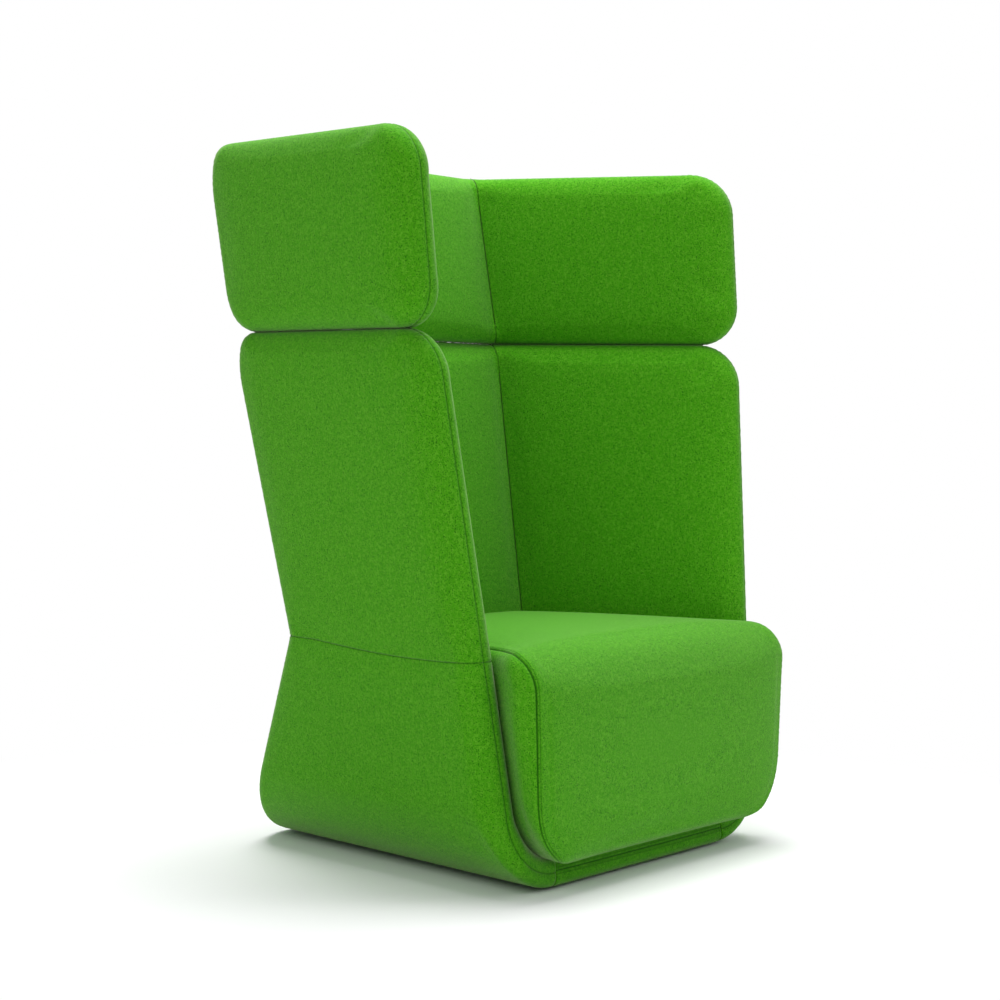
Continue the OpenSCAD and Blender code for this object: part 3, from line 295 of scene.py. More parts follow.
def face(start, end, f, swell, way):
    """Padded face between two edges: straight lines, pushed the way given by the swell times its crown."""
    return straight(start, end, f) + (swell * crown(f))[..., None] * way


def section(u, *stretches):
    """Closed sections, each stretch k of them worked out from the values of u between k and k + 1."""
    return np.concatenate([stretch(u[(u >= k) & (u < k + 1)][None, :] - k)
                           for k, stretch in enumerate(stretches)], axis=1)


def wall_surface(s, u):
    """Right-hand wall as rows of closed sections, with u from 0 to 7 round a section: the front edge up to
    its seam at 1 and on to 2, the outer face to 3, half the rear corner to 4, the mitre to 5, the inner
    corner to 6 and the inner face to 7. The rows s hold t_in, z_in, t_out and z_out of the two faces,
    r_in, r_out, rear_out and rear_in of its corners, the set-back, the swell, the seam's share of the
    front edge, and the back's faces y_in and y_out."""
    c = column(s)
    wide, high = c["t_out"] - c["t_in"], c["z_out"] - c["z_in"]
    w = np.hypot(wide, high)
    total = (c["r_in"] + c["r_out"]) * (QUARTER - 1) + w
    level = w / 2 * (wide / w) ** 2

    def front(run):
        across, depth = nose(run, c["r_in"], c["r_out"], w)
        t, z = c["t_in"] + wide * across / w, c["z_in"] + high * across / w
        skew = np.maximum(0, -t - level) * math.tan(SPLAY)
        return with_height(in_plan(s["edge"](z), t, c["back"] + depth + skew), z)

    outer, inner = partial(rear_corner, s, "out"), partial(rear_corner, s, "in")
    splayed, mitred = np.full((1, 1), SPLAY), np.full((1, 1), MITRE)
    return section(
        u,
        lambda f: front(total * c["seam"] * f),
        lambda f: front(total * (c["seam"] + (1 - c["seam"]) * f)),
        lambda f: face(front(total), outer(splayed), f, c["swell"], OUTWARDS),
        lambda f: outer(SPLAY + (MITRE - SPLAY) * f),
        lambda f: straight(outer(mitred), inner(mitred), f),
        lambda f: inner(MITRE + (SPLAY - MITRE) * f),
        lambda f: face(inner(splayed), front(0 * total), f, c["swell"], -OUTWARDS))


def back_surface(s, u):
    """Back between its two mitres as rows of closed sections, with u from 0 to 8 round a section: the
    right mitre to 1, the right rear corner to 2, the outer face to 3, the left rear corner to 4, the left
    mitre to 5, the left inner corner to 6, the inner face to 7 and the right inner corner to 8."""
    swell, backwards = column(s)["swell"], np.array([0.0, 1.0, 0.0])
    outer, inner = partial(rear_corner, s, "out"), partial(rear_corner, s, "in")
    mitred, square = np.full((1, 1), MITRE), np.full((1, 1), QUARTER)
    return section(
        u,
        lambda f: straight(inner(mitred), outer(mitred), f),
        lambda f: outer(MITRE + (QUARTER - MITRE) * f),
        lambda f: face(outer(square), outer(square) * MIRROR, f, swell, backwards),
        lambda f: outer(QUARTER + (MITRE - QUARTER) * f) * MIRROR,
        lambda f: straight(outer(mitred), inner(mitred), f) * MIRROR,
        lambda f: inner(MITRE + (QUARTER - MITRE) * f) * MIRROR,
        lambda f: face(inner(square) * MIRROR, inner(square), f, swell, -backwards),
        lambda f: inner(QUARTER + (MITRE - QUARTER) * f))


def steps(*stops):
    """Values from stop to stop, each stop given as (value, steps to the next one)."""
    pieces = [np.linspace(a[0], b[0], a[1], endpoint=False) for a, b in zip(stops, stops[1:])]
    return np.concatenate(pieces + [[stops[-1][0]]])


def columns(*counts):
    """Section parameters from 0 to n, finer towards both ends of each part: the average of f and
    (1 - cos(pi f)) / 2 over a part."""
    parts = [np.arange(n) / n for n in counts]
    return np.concatenate([k + 0.5 * f + 0.25 * (1 - np.cos(math.pi * f)) for k, f in enumerate(parts)])


def grid_normals(points):
    """Outward unit normals of a closed grid: cross product of its differences along and round it."""
    across = np.roll(points, -1, axis=1) - np.roll(points, 1, axis=1)
    normal = np.cross(across, np.gradient(points, axis=0))
    normal /= np.maximum(np.linalg.norm(normal, axis=-1, keepdims=True), 1e-12)
    outwards = np.sum((points - points.mean(axis=(0, 1))) * normal)
    return normal * np.sign(outwards)


def nearest(points, line):
    """Distance of every point from a line, thinned to 90 to 180 segments, and how far along it that is."""
    line = line[::max(1, len(line) // 90)]
    start, way = line[:-1], np.diff(line, axis=0)
    length = np.maximum(np.linalg.norm(way, axis=1), 1e-9)
    run = np.concatenate([[0], np.cumsum(length)[:-1]])
    flat = points.reshape(-1, 3)
    distance, place = np.full(len(flat), np.inf), np.zeros(len(flat))
    for k in range(len(start)):
        share = np.clip((flat - start[k]) @ way[k] / length[k] ** 2, 0, 1)
        gap = np.linalg.norm(flat - start[k] - share[:, None] * way[k], axis=1)
        closer = gap < distance
        distance[closer], place[closer] = gap[closer], (run[k] + share * length[k])[closer]
    return distance.reshape(points.shape[:-1]), place.reshape(points.shape[:-1])


def sew(points, normals, shade, line, depth, dark, pull=0.0006, stitch=0.0, only=1.0):
    """Draws a cover in along a seam: a groove -depth exp(-(d/width)^2), a slight swell beside it, small
    puckers across it from two sines along it, and a second groove where a topstitch runs beside it.
    The painted shade of the seam's groove and of its topstitch, 0 to 1, is kept for the felt's colour."""
    d, s = nearest(points, line)
    move = -depth * np.exp(-(d / SEAM_WIDTH) ** 2)
    move += 0.1 * depth * np.exp(-((d - 4 * SEAM_WIDTH) / (2.5 * SEAM_WIDTH)) ** 2)
    # Painted shade along the groove, kept for the felt's colour.
    shade[:] = np.maximum(shade, dark * np.exp(-(d / SHADE_WIDTH) ** 2))
    ripple = np.sin(2 * math.pi * s / PUCKER) * np.sin(2 * math.pi * s / PUCKER_BEAT + 1.3)
    move += pull * ripple * np.exp(-d / PUCKER_REACH) * (1 - np.exp(-(d / PUCKER_START) ** 2))
    if stitch:
        mark = only * np.exp(-((d - stitch) / STITCH_WIDTH) ** 2)
        move -= STITCH_DEPTH * mark
        shade[:] = np.maximum(shade, 0.6 * dark * mark)
    return points + normals * move[..., None]


def sewn(points, lines, kinds):
    """A cover drawn in along its seam lines, and the shade painted along them. A line's kind is its depth
    and the darkness of its painted shade, and its puckers' pull, its topstitch and where that reaches if
    they differ."""
    normals, shade = grid_normals(points), np.zeros(points.shape[:2])
    for line, kind in zip(lines, kinds):
        points = sew(points, normals, shade, line, *kind)
    return points, shade


def closed_mesh(name, points):
    """Mesh of a closed grid: quads between the rows, and one face over each end. Its signed volume says
    which way round the faces go."""
    rows, cols = points.shape[:2]
    index = np.arange(rows * cols).reshape(rows, cols)
    after = np.roll(index, -1, axis=1)
    quads = np.stack([index[:-1], after[:-1], after[1:], index[1:]], axis=-1).reshape(-1, 4)
    flat = points.reshape(-1, 3)
    a, b, c, d = (flat[quads[:, k]] for k in range(4))
    volume = np.sum(np.cross(b - a, c - a) * a) + np.sum(np.cross(c - a, d - a) * a)
    faces = quads.tolist() + [index[0, ::-1].tolist(), index[-1].tolist()]
    if volume < 0:
        faces = [ring[::-1] for ring in faces]
    mesh = bpy.data.meshes.new(name)
    mesh.from_pydata(flat.tolist(), [], faces)
    mesh.validate()
    mesh.shade_smooth()
    return mesh


def new_object(name, data):
    """Object of a mesh, lamp or camera, put in the scene."""
    thing = bpy.data.objects.new(name, data)
    bpy.context.scene.collection.objects.link(thing)
    return thing


def seam_lines(u, *marks):
    """Function that gives a grid's seam lines: its column at each mark of u, its first or last row, or the
    crest of either, which is the row from u = 1, a front seam or first mitre, to the mitre at 4."""
    crest = slice(np.searchsorted(u, 1), np.searchsorted(u, 4) + 1)
    rows = {"first": (0, slice(None)), "last": (-1, slice(None)),
            "low crest": (0, crest), "crest": (-1, crest)}

    def lines(points):
        return [points[rows[m]] if m in rows else points[:, np.searchsorted(u, m)] for m in marks]
    return lines


def seam_grip(points, lines):
    """Grip of the seams on the cloth: exp(-(d/reach)^2) at the distance d from the nearest line."""
    gaps = np.min([nearest(points, line)[0] for line in lines], axis=0)
    return np.exp(-(gaps / GRIP_REACH) ** 2)


def swollen(surface, v, u, seams, cap):
    """Grid of a surface after its foam has pushed the cover out. Cloth of a coarser grid is blown up by a
    pressure with gravity off, held along its seam lines. Its motion is capped, spread over the fine grid
    and evened out over a few cells."""
    fine = surface(v, u)
    lines = seams(fine)
    vs = np.unique(np.append(np.arange(0, len(v), CLOTH_STEP), len(v) - 1))
    us = np.arange(0, len(u), CLOTH_STEP)
    rough = fine[np.ix_(vs, us)]
    mesh = closed_mesh("pressed_cover", rough)
    cover = new_object("pressed_cover", mesh)
    group = cover.vertex_groups.new(name="held")
    grip = np.round(seam_grip(rough, lines).ravel() * 10)
    for level in range(11):
        group.add(np.nonzero(grip == level)[0].tolist(), level / 10, "REPLACE")
    cloth = cover.modifiers.new("Cloth", "CLOTH")
    fabric = cloth.settings
    fabric.quality, fabric.mass = 4, 0.4
    fabric.tension_stiffness = fabric.compression_stiffness = 25
    fabric.shear_stiffness, fabric.bending_stiffness = 15, 4
    fabric.use_pressure, fabric.uniform_pressure_force = True, CLOTH_PRESSURE
    fabric.vertex_group_mass = "held"
    fabric.effector_weights.gravity = 0
    cloth.collision_settings.use_collision = False
    cloth.point_cache.frame_start, cloth.point_cache.frame_end = 1, CLOTH_FRAMES
    scene = bpy.context.scene
    for moment in range(1, CLOTH_FRAMES + 1):
        scene.frame_set(moment)
    shaped = cover.evaluated_get(bpy.context.evaluated_depsgraph_get()).data
    moved = np.empty(rough.size)
    shaped.vertices.foreach_get("co", moved)
    moved = moved.reshape(rough.shape) - rough
    length = np.maximum(np.linalg.norm(moved, axis=-1, keepdims=True), 1e-9)
    moved *= cap * np.tanh(length / cap) / length
    bpy.data.objects.remove(cover)
    bpy.data.meshes.remove(mesh)
    scene.frame_set(1)
    moved = np.concatenate([moved, moved[:, :1]], axis=1)
    for axis, known, wanted in ((0, v[vs], v), (1, np.append(u[us], math.ceil(u[-1])), u)):
        low = np.clip(np.searchsorted(known, wanted, side="right") - 1, 0, len(known) - 2)
        share = np.clip((wanted - known[low]) / (known[low + 1] - known[low]), 0, 1)
        share = share[:, None, None] if axis == 0 else share[None, :, None]
        moved = np.take(moved, low, axis) * (1 - share) + np.take(moved, low + 1, axis) * share
    for _ in range(EVEN_PASSES):
        moved = 0.5 * moved + 0.25 * (np.roll(moved, 1, axis=1) + np.roll(moved, -1, axis=1))
        moved[1:-1] = 0.5 * moved[1:-1] + 0.25 * (moved[2:] + moved[:-2])
    return fine + moved * (1 - seam_grip(fine, lines)[..., None])


def sewn_cover(surface, v, u, seams, kinds, cap):
    """Cover swollen by its foam and then drawn in along its seams. Those past the last kind only hold."""
    grid = swollen(surface, v, u, seams, cap)
    return sewn(grid, seams(grid), kinds)


def upholstery(name, points, shade, *nodes):
    """Finished felt piece of a closed grid, smooth shaded, on the chair's body, in place of CAD nodes."""
    piece = new_object(name, closed_mesh(name, points))
    # The seams' painted shade, kept as the point attribute "seam".
    seam = piece.data.attributes.new("seam", "FLOAT", "POINT")
    seam.data.foreach_set("value", shade.ravel().astype(np.float32))
    piece.data.materials.append(felt)
    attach(piece, "chair")
    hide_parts(*nodes)


def upholstered_pair(name, points, shade, *nodes):
    """The same felt piece on the right and, mirrored, on the left."""
    for side, placed in (("right", points), ("left", points * MIRROR)):
        upholstery(f"{name}_{side}", placed, shade, *(f"{node}_{side}" for node in nodes))


LEAN = ((SEAM_HEAD - SEAM_FOOT) @ OUT) / (SHELL_Z - FLOOR_GAP)
LEAN_A = math.atan(LEAN)
ARC_OUT_T = WALL_T / 2 + LEAN * FOOT_R - FOOT_R / math.cos(LEAN_A)
ARC_IN_H = RIM_H + TUB_R
ARC_IN_T = -WALL_T / 2 + LEAN * ARC_IN_H - TUB_R / math.cos(LEAN_A)
RAIL_END_T = -RAIL_IN * math.cos(SPLAY)


def waist_sag(points):
    """Lowers what lies near the waist, as the seam does along a side: a little at the front and more in
    the middle, fading with the height above or below it."""
    f = np.clip((points[..., 1] - SEAM_FOOT[1]) / (BACK_LOW_Y - SEAM_FOOT[1]), 0, 1)
    drop = -WAIST_DROP * (1 - f) - WAIST_SAG * np.sin(math.pi * f)
    points[..., 2] += drop * np.exp(-(np.abs(points[..., 2] - WAIST_Z) / SAG_REACH) ** 2)
    return points


def side_profile(v):
    """Rows of a base side, v from 0 at the waist to 1 where the tub's wall turns and 2 at the rail. Both
    faces go down the leaning wall, then round arcs of their own radius to the rail."""
    plane, turn = np.clip(v, 0, 1), np.clip(v - 1, 0, 1)
    waist = WAIST_Z - FLOOR_GAP
    faces = []
    for side, t_arc, h_arc, r, last in (
            (-1, ARC_IN_T, ARC_IN_H, TUB_R, math.asin((RAIL_END_T - ARC_IN_T) / TUB_R)),
            (1, ARC_OUT_T, FOOT_R, FOOT_R, 0.0)):
        angle = -LEAN_A + (last - QUARTER + LEAN_A) * turn
        h_plane = waist + (h_arc - r * math.sin(LEAN_A) - waist) * plane
        h = np.where(v <= 1, h_plane, h_arc + r * np.sin(angle))
        t = np.where(v <= 1, side * WALL_T / 2 + LEAN * h_plane, t_arc + r * np.cos(angle))
        faces.append((t - LEAN * h, h + FLOOR_GAP))
    (t_in, z_in), (t_out, z_out) = faces
    ease = turn * turn * (3 - 2 * turn)
    w = np.hypot(t_out - t_in, z_out - z_in)
    return {"t_in": t_in, "z_in": z_in, "t_out": t_out, "z_out": z_out,
            "r_in": WALL_T / 2 - RIM_TIGHT_IN * ease, "r_out": WALL_T / 2 - RIM_TIGHT_OUT * ease,
            "rear_out": np.minimum(REAR_R, w), "rear_in": 0 * v + FOLD_R,
            "back": 0 * v, "swell": SIDE_SWELL * crown(v / 2),
            "seam": np.interp(v, RIM_SEAM_V, RIM_SEAM_SHARE),
            "y_in": along(z_in, FLOOR_GAP, WAIST_Z, FOOT_BACK_Y - FOOT_BACK_T, BACK_LOW_Y),
            "y_out": along(z_out, FLOOR_GAP, WAIST_Z, FOOT_BACK_Y, BACK_LOW_Y + BACK_T)
                     - corner(EDGE_R, z_out - FLOOR_GAP),
            "edge": shell_seam}


def base_side(v, u):
    """Side of the base at its rows v, round its sections u."""
    return waist_sag(wall_surface(side_profile(v), u))


base_v = steps((0, 8), (0.03, 50), (1, 56), (2, 1))
base_u = columns(20, 20, 70, 12, 6, 6, 60)
seams = seam_lines(base_u, 1, 4, "first", "last")
side, shade = sewn_cover(base_side, base_v, base_u, seams, [RIM_SEAM, JOIN_SEAM, JOIN_SEAM], 0.003)
upholstered_pair("base_side_pad", side, shade, "base_cover", "base_foam")

# Base rear: the slanted cover behind the seat, under the back. Foam on a slanted plywood board under
# felt, closed at each side by a mitred seam to the base sides.
REAR_FOLD_R, REAR_SWELL, REAR_THIN = 0.003, 0.004, 0.004


def base_rear(v, u):
    """Level sections of the base's rear: v from 0 at the covers' lowest edge to 1 where the tub's floor
    starts, 2 where its wall turns and 3 at the waist, with the sides' arcs as its ends."""
    low = FOOT_R * (1 - np.cos(np.clip(v, 0, 1) * math.acos(1 - RIM_H / FOOT_R)))
    bend = ARC_IN_H - TUB_R * np.cos(np.clip(v - 1, 0, 1) * (QUARTER - LEAN_A))
    wall = bend + (WAIST_Z - FLOOR_GAP - bend) * np.clip(v - 2, 0, 1)
    h = np.where(v < 1, low, wall)
    reach_out = np.sqrt(np.maximum(FOOT_R ** 2 - (FOOT_R - h) ** 2, 0))
    t_out = np.where(h < FOOT_R * (1 - math.sin(LEAN_A)), ARC_OUT_T + reach_out, WALL_T / 2 + LEAN * h)
    reach_in = np.sqrt(np.maximum(TUB_R ** 2 - (ARC_IN_H - h) ** 2, 0))
    t_in = np.where(h < ARC_IN_H - TUB_R * math.sin(LEAN_A), ARC_IN_T + reach_in, LEAN * h - WALL_T / 2)
    t_in = np.maximum(t_in, RAIL_END_T)
    t_out = np.maximum(t_out, t_in + REAR_THIN)
    z = h + FLOOR_GAP
    rows = {"t_in": t_in - LEAN * h, "z_in": z, "t_out": t_out - LEAN * h, "z_out": z,
            "rear_out": np.minimum(REAR_R, t_out - t_in), "rear_in": 0 * v + REAR_FOLD_R,
            "swell": REAR_SWELL * crown(v / 3),
            "y_in": along(z, FLOOR_GAP, WAIST_Z, FOOT_BACK_Y - FOOT_BACK_T, BACK_LOW_Y),
            "y_out": along(z, FLOOR_GAP, WAIST_Z, FOOT_BACK_Y, BACK_LOW_Y + BACK_T) - corner(EDGE_R, h),
            "edge": shell_seam}
    return waist_sag(back_surface(rows, u))


rear_v = steps((0, 24), (1, 16), (2, 40), (2.97, 8), (3, 1))
rear_u = columns(6, 12, 70, 12, 6, 4, 30, 4)
seams = seam_lines(rear_u, 1, 4, "last", "first")
rear, shade = sewn_cover(base_rear, rear_v, rear_u, seams, [JOIN_SEAM] * 3, 0.004)
upholstery("base_rear_pad", rear, shade, "base_cover_back", "base_foam_back")

# Front rail: the low padded rim under the seat. Foam on the base board's front edge under felt, with a
# seam and its topstitch along the top edge, and a short cross seam at each end.
RAIL_TOP_R, RAIL_BACK_Y, RAIL_SWELL = 0.01225, 0.060 - 0.019 - CENTRE_Y, 0.003
RAIL_SEAM_U, RAIL_SEAM, END_SEAM = 0.56, (0.0018, 0.95, 0.0006, 0.006), (0.0008, 0.3)


def plane_x(t, y):
    """Half width, at the depth y, of the upright plane at t outwards of the foot of the front seam."""
    return at_depth([SEAM_FOOT[0] + 0 * y, SEAM_FOOT[1] + 0 * y], t, y)[..., 0]


def rail(v, u):
    """Sections across the rail's length: v from -1 to 1 is the place along it, and u from 0 to 4 goes
    round a section, up its front, over its top, down its rear and back under it."""
    h_front = RIM_H * 0.5 * (1 - np.cos(math.pi * np.clip(u, 0, 1)))
    h = np.where(u < 1, h_front, np.where(u < 2, RIM_H, np.where(u < 3, RIM_H * (3 - u), 0)))
    front_y = shell_seam(h + FLOOR_GAP)[1] + corner(EDGE_R, h) + corner(RAIL_TOP_R, RIM_H - h)
    bottom_y = SEAM_FOOT[1] + EDGE_R
    top_y = shell_seam(RIM_H + FLOOR_GAP)[1] + RAIL_TOP_R
    under_y = np.where(u < 3, RAIL_BACK_Y, RAIL_BACK_Y + (bottom_y - RAIL_BACK_Y) * (u - 3))
    y = np.where(u < 1, front_y, np.where(u < 2, top_y + (RAIL_BACK_Y - top_y) * (u - 1), under_y))
    x = v[:, None] * plane_x(RAIL_END_T, y)[None, :]
    swell = RAIL_SWELL * (1 - v ** 4)[:, None] * np.sin(math.pi * np.clip(u, 0, 1))[None, :]
    return np.stack([x, y[None, :] - swell, np.broadcast_to(h + FLOOR_GAP, x.shape)], axis=-1)


rail_v = steps((-1, 12), (-0.94, 130), (0.94, 12), (1, 1))
rail_u = columns(46, 12, 6, 10)
points = rail(rail_v, rail_u)
lines = [points[:, np.searchsorted(rail_u, RAIL_SEAM_U)], points[0], points[-1]]
points, shade = sewn(points, lines, [RAIL_SEAM, END_SEAM, END_SEAM])
upholstery("front_rail_pad", points, shade, "rail_cover", "rail_foam")

# Shell sides: the upper wings from the waist seam to the rounded top edge. Thick foam on a plywood board
# under two felt panels, sewn together along the middle of the front edge and the crest.
CROWN_H, TOP_R, BACK_TOP_R = 0.005, 0.085, 0.105
SHELL_TOP = SHELL_Z + 0.00195
DOME_POWER, DOME_LEAST = 2.5, 0.00015
FRONT_SEAM, CREST_SEAM, FOLD_SEAM = (0.0013, 0.7, 0.0010), (0.0008, 0.5), (0.0008, 0.4)
WING_SEAMS = [FRONT_SEAM, CREST_SEAM, JOIN_SEAM, FOLD_SEAM]


def dome(r, d):
    """Half thickness of a round edge of half thickness r, d below its crest: a superellipse."""
    m = np.clip(d / r, 0, 1)
    return np.maximum(r * (1 - (1 - m) ** DOME_POWER) ** (1 / DOME_POWER), DOME_LEAST)


def rear_set_back(r, height, d):
    """Set-back of the rear face near a crest: a quarter of an ellipse r deep and as high as the edge."""
    m = np.clip(d / height, 0, 1)
    return r * (1 - np.sqrt(1 - (1 - m) ** 2))


def crested_rows(z, z_low, z_high, crests, wall_t, back_t, front_r, y_in, edge):
    """Row values of a leaning wall at heights z, with each round crest given as the height of its rear
    corner and the distance from it. Near a crest both faces close in as a dome, the front edge is set
    back by its corner and the rear by an ellipse. The swell is a sine between z_low and z_high."""
    def set_back(r):
        return np.max([rear_set_back(r, height, gap) for height, gap in crests], axis=0)

    d = np.min([gap for _, gap in crests], axis=0)
    half, inset, turn = dome(wall_t / 2, d), back_t / 2 - dome(back_t / 2, d), set_back(REAR_TURN)
    fold = (REAR_R - back_t / 2 - FOLD_R + REAR_TURN) / REAR_TURN
    return {"t_in": -half, "z_in": z, "t_out": half, "z_out": z, "r_in": half, "r_out": half,
            "rear_out": REAR_R - inset + turn, "rear_in": FOLD_R + fold * turn,
            "back": corner(front_r, d), "seam": 0 * z + 0.5,
            "swell": CROWN_H * np.sin(math.pi * (z - z_low) / (z_high - z_low)),
            "y_in": y_in + inset, "y_out": y_in + back_t - set_back(back_t / 2), "edge": edge}


def shell_rows(v):
    """Row values of the shell, v from 0 at the waist to 1 where its edge turns and 2 at the crest, in
    equal steps of angle over the round edge."""
    round_edge = WALL_T / 2 * (1 - np.sin(np.clip(v - 1, 0, 1) * QUARTER))
    z = np.where(v < 1, WAIST_Z + (SHELL_TOP - WALL_T / 2 - WAIST_Z) * v, SHELL_TOP - round_edge)
    y_in = along(z, WAIST_Z, SHELL_Z, BACK_LOW_Y, BACK_HIGH_Y)
    return crested_rows(z, WAIST_Z, SHELL_Z, [(BACK_TOP_R, SHELL_TOP - z)], WALL_T, BACK_T, TOP_R, y_in,
                        shell_seam)


def swept_corner(points, edge, r, half, d):
    """Rounds a wing's front corner as its edges are. A point u behind the front and d from the crest is
    e = r - |(r - u, r - d)| inside the round outline, and the wall's half thickness there is a
    superellipse of e, of a power from 2 at the front to 2.5 at the crest."""
    away = points[..., :2] - np.stack(edge(points[..., 2]), axis=-1)
    t, u = away @ OUT, away @ BACK
    side, top = np.clip(r - u, 0, None), np.clip(r - d, 0, None)
    power = 2 + np.arctan2(top, side) / math.pi
    inside = 1 - np.clip((r - np.hypot(side, top)) / half, 0, 1)
    change = half * (1 - inside ** power) ** (1 / power) - np.minimum(np.abs(t), dome(half, d))
    points[..., :2] += np.where(side > 0, np.sign(t) * change, 0)[..., None] * OUT
    return points


def shell_side(v, u):
    """Wing of the shell at its rows v, round its sections u."""
    points = wall_surface(shell_rows(v), u)
    return waist_sag(swept_corner(points, shell_seam, TOP_R, WALL_T / 2, SHELL_TOP - points[..., 2]))


shell_v = steps((0, 8), (0.03, 60), (0.9, 12), (1, 36), (2, 1))
wing_u = columns(20, 20, 80, 14, 8, 6, 80)
seams = seam_lines(wing_u, 1, "crest", 4, 5, "first")
side, shade = sewn_cover(shell_side, shell_v, wing_u, seams, WING_SEAMS + [JOIN_SEAM], 0.004)
upholstered_pair("shell_side_pad", side, shade, "side_cover", "side_foam")

# Shell back: the upright back between the wings, from the waist seam up. Foam on a plywood board under
# felt, mitred to the wings with a seam in each inner corner and along the crest.
BACK_FOLD, BACK_JOIN = (0.0008, 0.45), (0.0012, 0.45)
BACK_SEAMS = [BACK_FOLD, BACK_FOLD, BACK_JOIN, BACK_JOIN, BACK_FOLD]


def shell_back(v, u):
    """Back of the shell at its rows v, round its sections u."""
    return waist_sag(back_surface(shell_rows(v), u))


back_u = columns(8, 12, 80, 12, 8, 4, 80, 4)
seams = seam_lines(back_u, "crest", 0, 1, 4, 5, "first")
back, shade = sewn_cover(shell_back, shell_v, back_u, seams, BACK_SEAMS + [BACK_JOIN], 0.006)
upholstery("shell_back_pad", back, shade, "back_cover", "back_foam")

# Collar wings: the two head-high wings on hidden steel uprights above the shell, whose felt all but
# touches theirs. Foam on a plywood board under two felt panels, sewn round the middle of every edge.
COLLAR_Z, TOTAL_Z, COLLAR_T, COLLAR_BACK_T = 1.01005, 1.370, 0.080, 0.081
COLLAR_R, COLLAR_TOP_R, COLLAR_LOW_R, COLLAR_BACK_HIGH_Y = 0.085, 0.110, 0.080, 0.662 - CENTRE_Y
COLLAR_FOOT = np.array([0.538, 0.098 - CENTRE_Y])
COLLAR_HEAD = np.array([0.550, 0.131 - CENTRE_Y])


def collar_edge(z):
    """Front seam of the collar's wing at height z, as x and y arrays."""
    return [along(z, COLLAR_Z, TOTAL_Z, COLLAR_FOOT[k], COLLAR_HEAD[k]) for k in (0, 1)]


def collar_rows(v):
    """Row values of the collar, v from 0 at its lower crest to 3 at its upper one, in equal steps of
    angle over both round edges."""
    half_t = COLLAR_T / 2
    low = half_t * (1 - np.cos(np.clip(v, 0, 1) * QUARTER))
    high = half_t * (1 - np.sin(np.clip(v - 2, 0, 1) * QUARTER))
    middle = COLLAR_Z + half_t + (TOTAL_Z - COLLAR_Z - 2 * half_t) * (v - 1)
    z = np.where(v < 1, COLLAR_Z + low, np.where(v < 2, middle, TOTAL_Z - high))
    y_low = along(COLLAR_Z, WAIST_Z, SHELL_Z, BACK_LOW_Y, BACK_HIGH_Y)
    y_in = along(z, COLLAR_Z, TOTAL_Z, y_low, COLLAR_BACK_HIGH_Y)
    crests = [(COLLAR_LOW_R, z - COLLAR_Z), (COLLAR_TOP_R, TOTAL_Z - z)]
    return crested_rows(z, COLLAR_Z, TOTAL_Z, crests, COLLAR_T, COLLAR_BACK_T, COLLAR_R, y_in, collar_edge)


def collar_wing(v, u):
    """Wing of the collar at its rows v, round its sections u."""
    points = wall_surface(collar_rows(v), u)
    d = np.minimum(points[..., 2] - COLLAR_Z, TOTAL_Z - points[..., 2])
    return swept_corner(points, collar_edge, COLLAR_R, COLLAR_T / 2, d)


collar_v = steps((0, 30), (1, 64), (2, 30), (3, 1))
seams = seam_lines(wing_u, 1, "crest", 4, 5, "low crest")
side, shade = sewn_cover(collar_wing, collar_v, wing_u, seams, WING_SEAMS + [CREST_SEAM], 0.005)
upholstered_pair("collar_wing_pad", side, shade, "collar_cover", "collar_foam")

# Collar back: the collar's rear between its wings. Foam on a plywood board under felt, made as the
# wings are and mitred to them, with a seam in each inner corner.
def collar_back(v, u):
    """Back of the collar at its rows v, round its sections u."""
    return back_surface(collar_rows(v), u)


seams = seam_lines(back_u, "crest", 0, 1, 4, 5, "low crest")
back, shade = sewn_cover(collar_back, collar_v, back_u, seams, BACK_SEAMS + [BACK_FOLD], 0.006)
upholstery("collar_back_pad", back, shade, "collar_cover_back", "collar_foam_back")

# Seat: one full-height block that drops into the tub. A foam block round the sprung box, under a felt
# top and front panel with a boxing seam and its topstitch down each side, and a plain side panel.
SEAT_LOW, SEAT_EDGE_Z, SEAT_FRONT_Y, SEAT_REAR_Y = 0.057, 0.443, -0.072 - CENTRE_Y, 0.480 - CENTRE_Y
SEAT_FRONT_R, SEAT_LOW_R, SEAT_REAR_R, SEAT_GAP = 0.074, 0.020, 0.020, 0.003
SEAT_FLARE, FLARE_DEPTH, FLARE_RUN, FLARE_LOSS = 0.028, 0.026, 0.09, 0.6
TOP_CROWN, FRONT_CROWN, EDGE_DEEP, EDGE_WIDE = 0.013, 0.007, 0.005, 0.022
SEAM_IN, SEAM_IN_Z, SEAM_IN_RISE, SEAM_IN_LEAST = 0.029, 0.07, 0.33, 0.1
PANEL_REACH, PANEL_ROUND, PANEL_MIDDLE = 0.19, 0.034, 0.02
BOXING_SEAM = (0.0018, 0.95, 0.0006, 0.0055)
FACING = 0.01


def seat_half(y, z):
    """Half width of the seat at depth y and height z: the tub's inner face less a small gap, and wider
    ahead of the walls, where nothing holds the foam in."""
    h = np.maximum(z - FLOOR_GAP, RIM_H + SEAT_GAP)
    reach = np.sqrt(np.maximum((TUB_R + SEAT_GAP) ** 2 - (ARC_IN_H - h) ** 2, 0))
    wall = LEAN * h - WALL_T / 2 - SEAT_GAP
    t = np.where(h < ARC_IN_H - TUB_R * math.sin(LEAN_A), ARC_IN_T - 2 * SEAT_GAP + reach, wall) - LEAN * h
    t = np.minimum(t, wall - LEAN * h)
    x = at_depth(shell_seam(z), t, y)[..., 0]
    ahead = np.clip((shell_seam(z)[1] + FLARE_DEPTH - y) / FLARE_RUN, 0, 1)
    low = np.clip(1 - (h - RIM_H) / TUB_R, 0, 1)
    return x + SEAT_FLARE * (ahead * ahead * (3 - 2 * ahead)) * (1 - FLARE_LOSS * low)


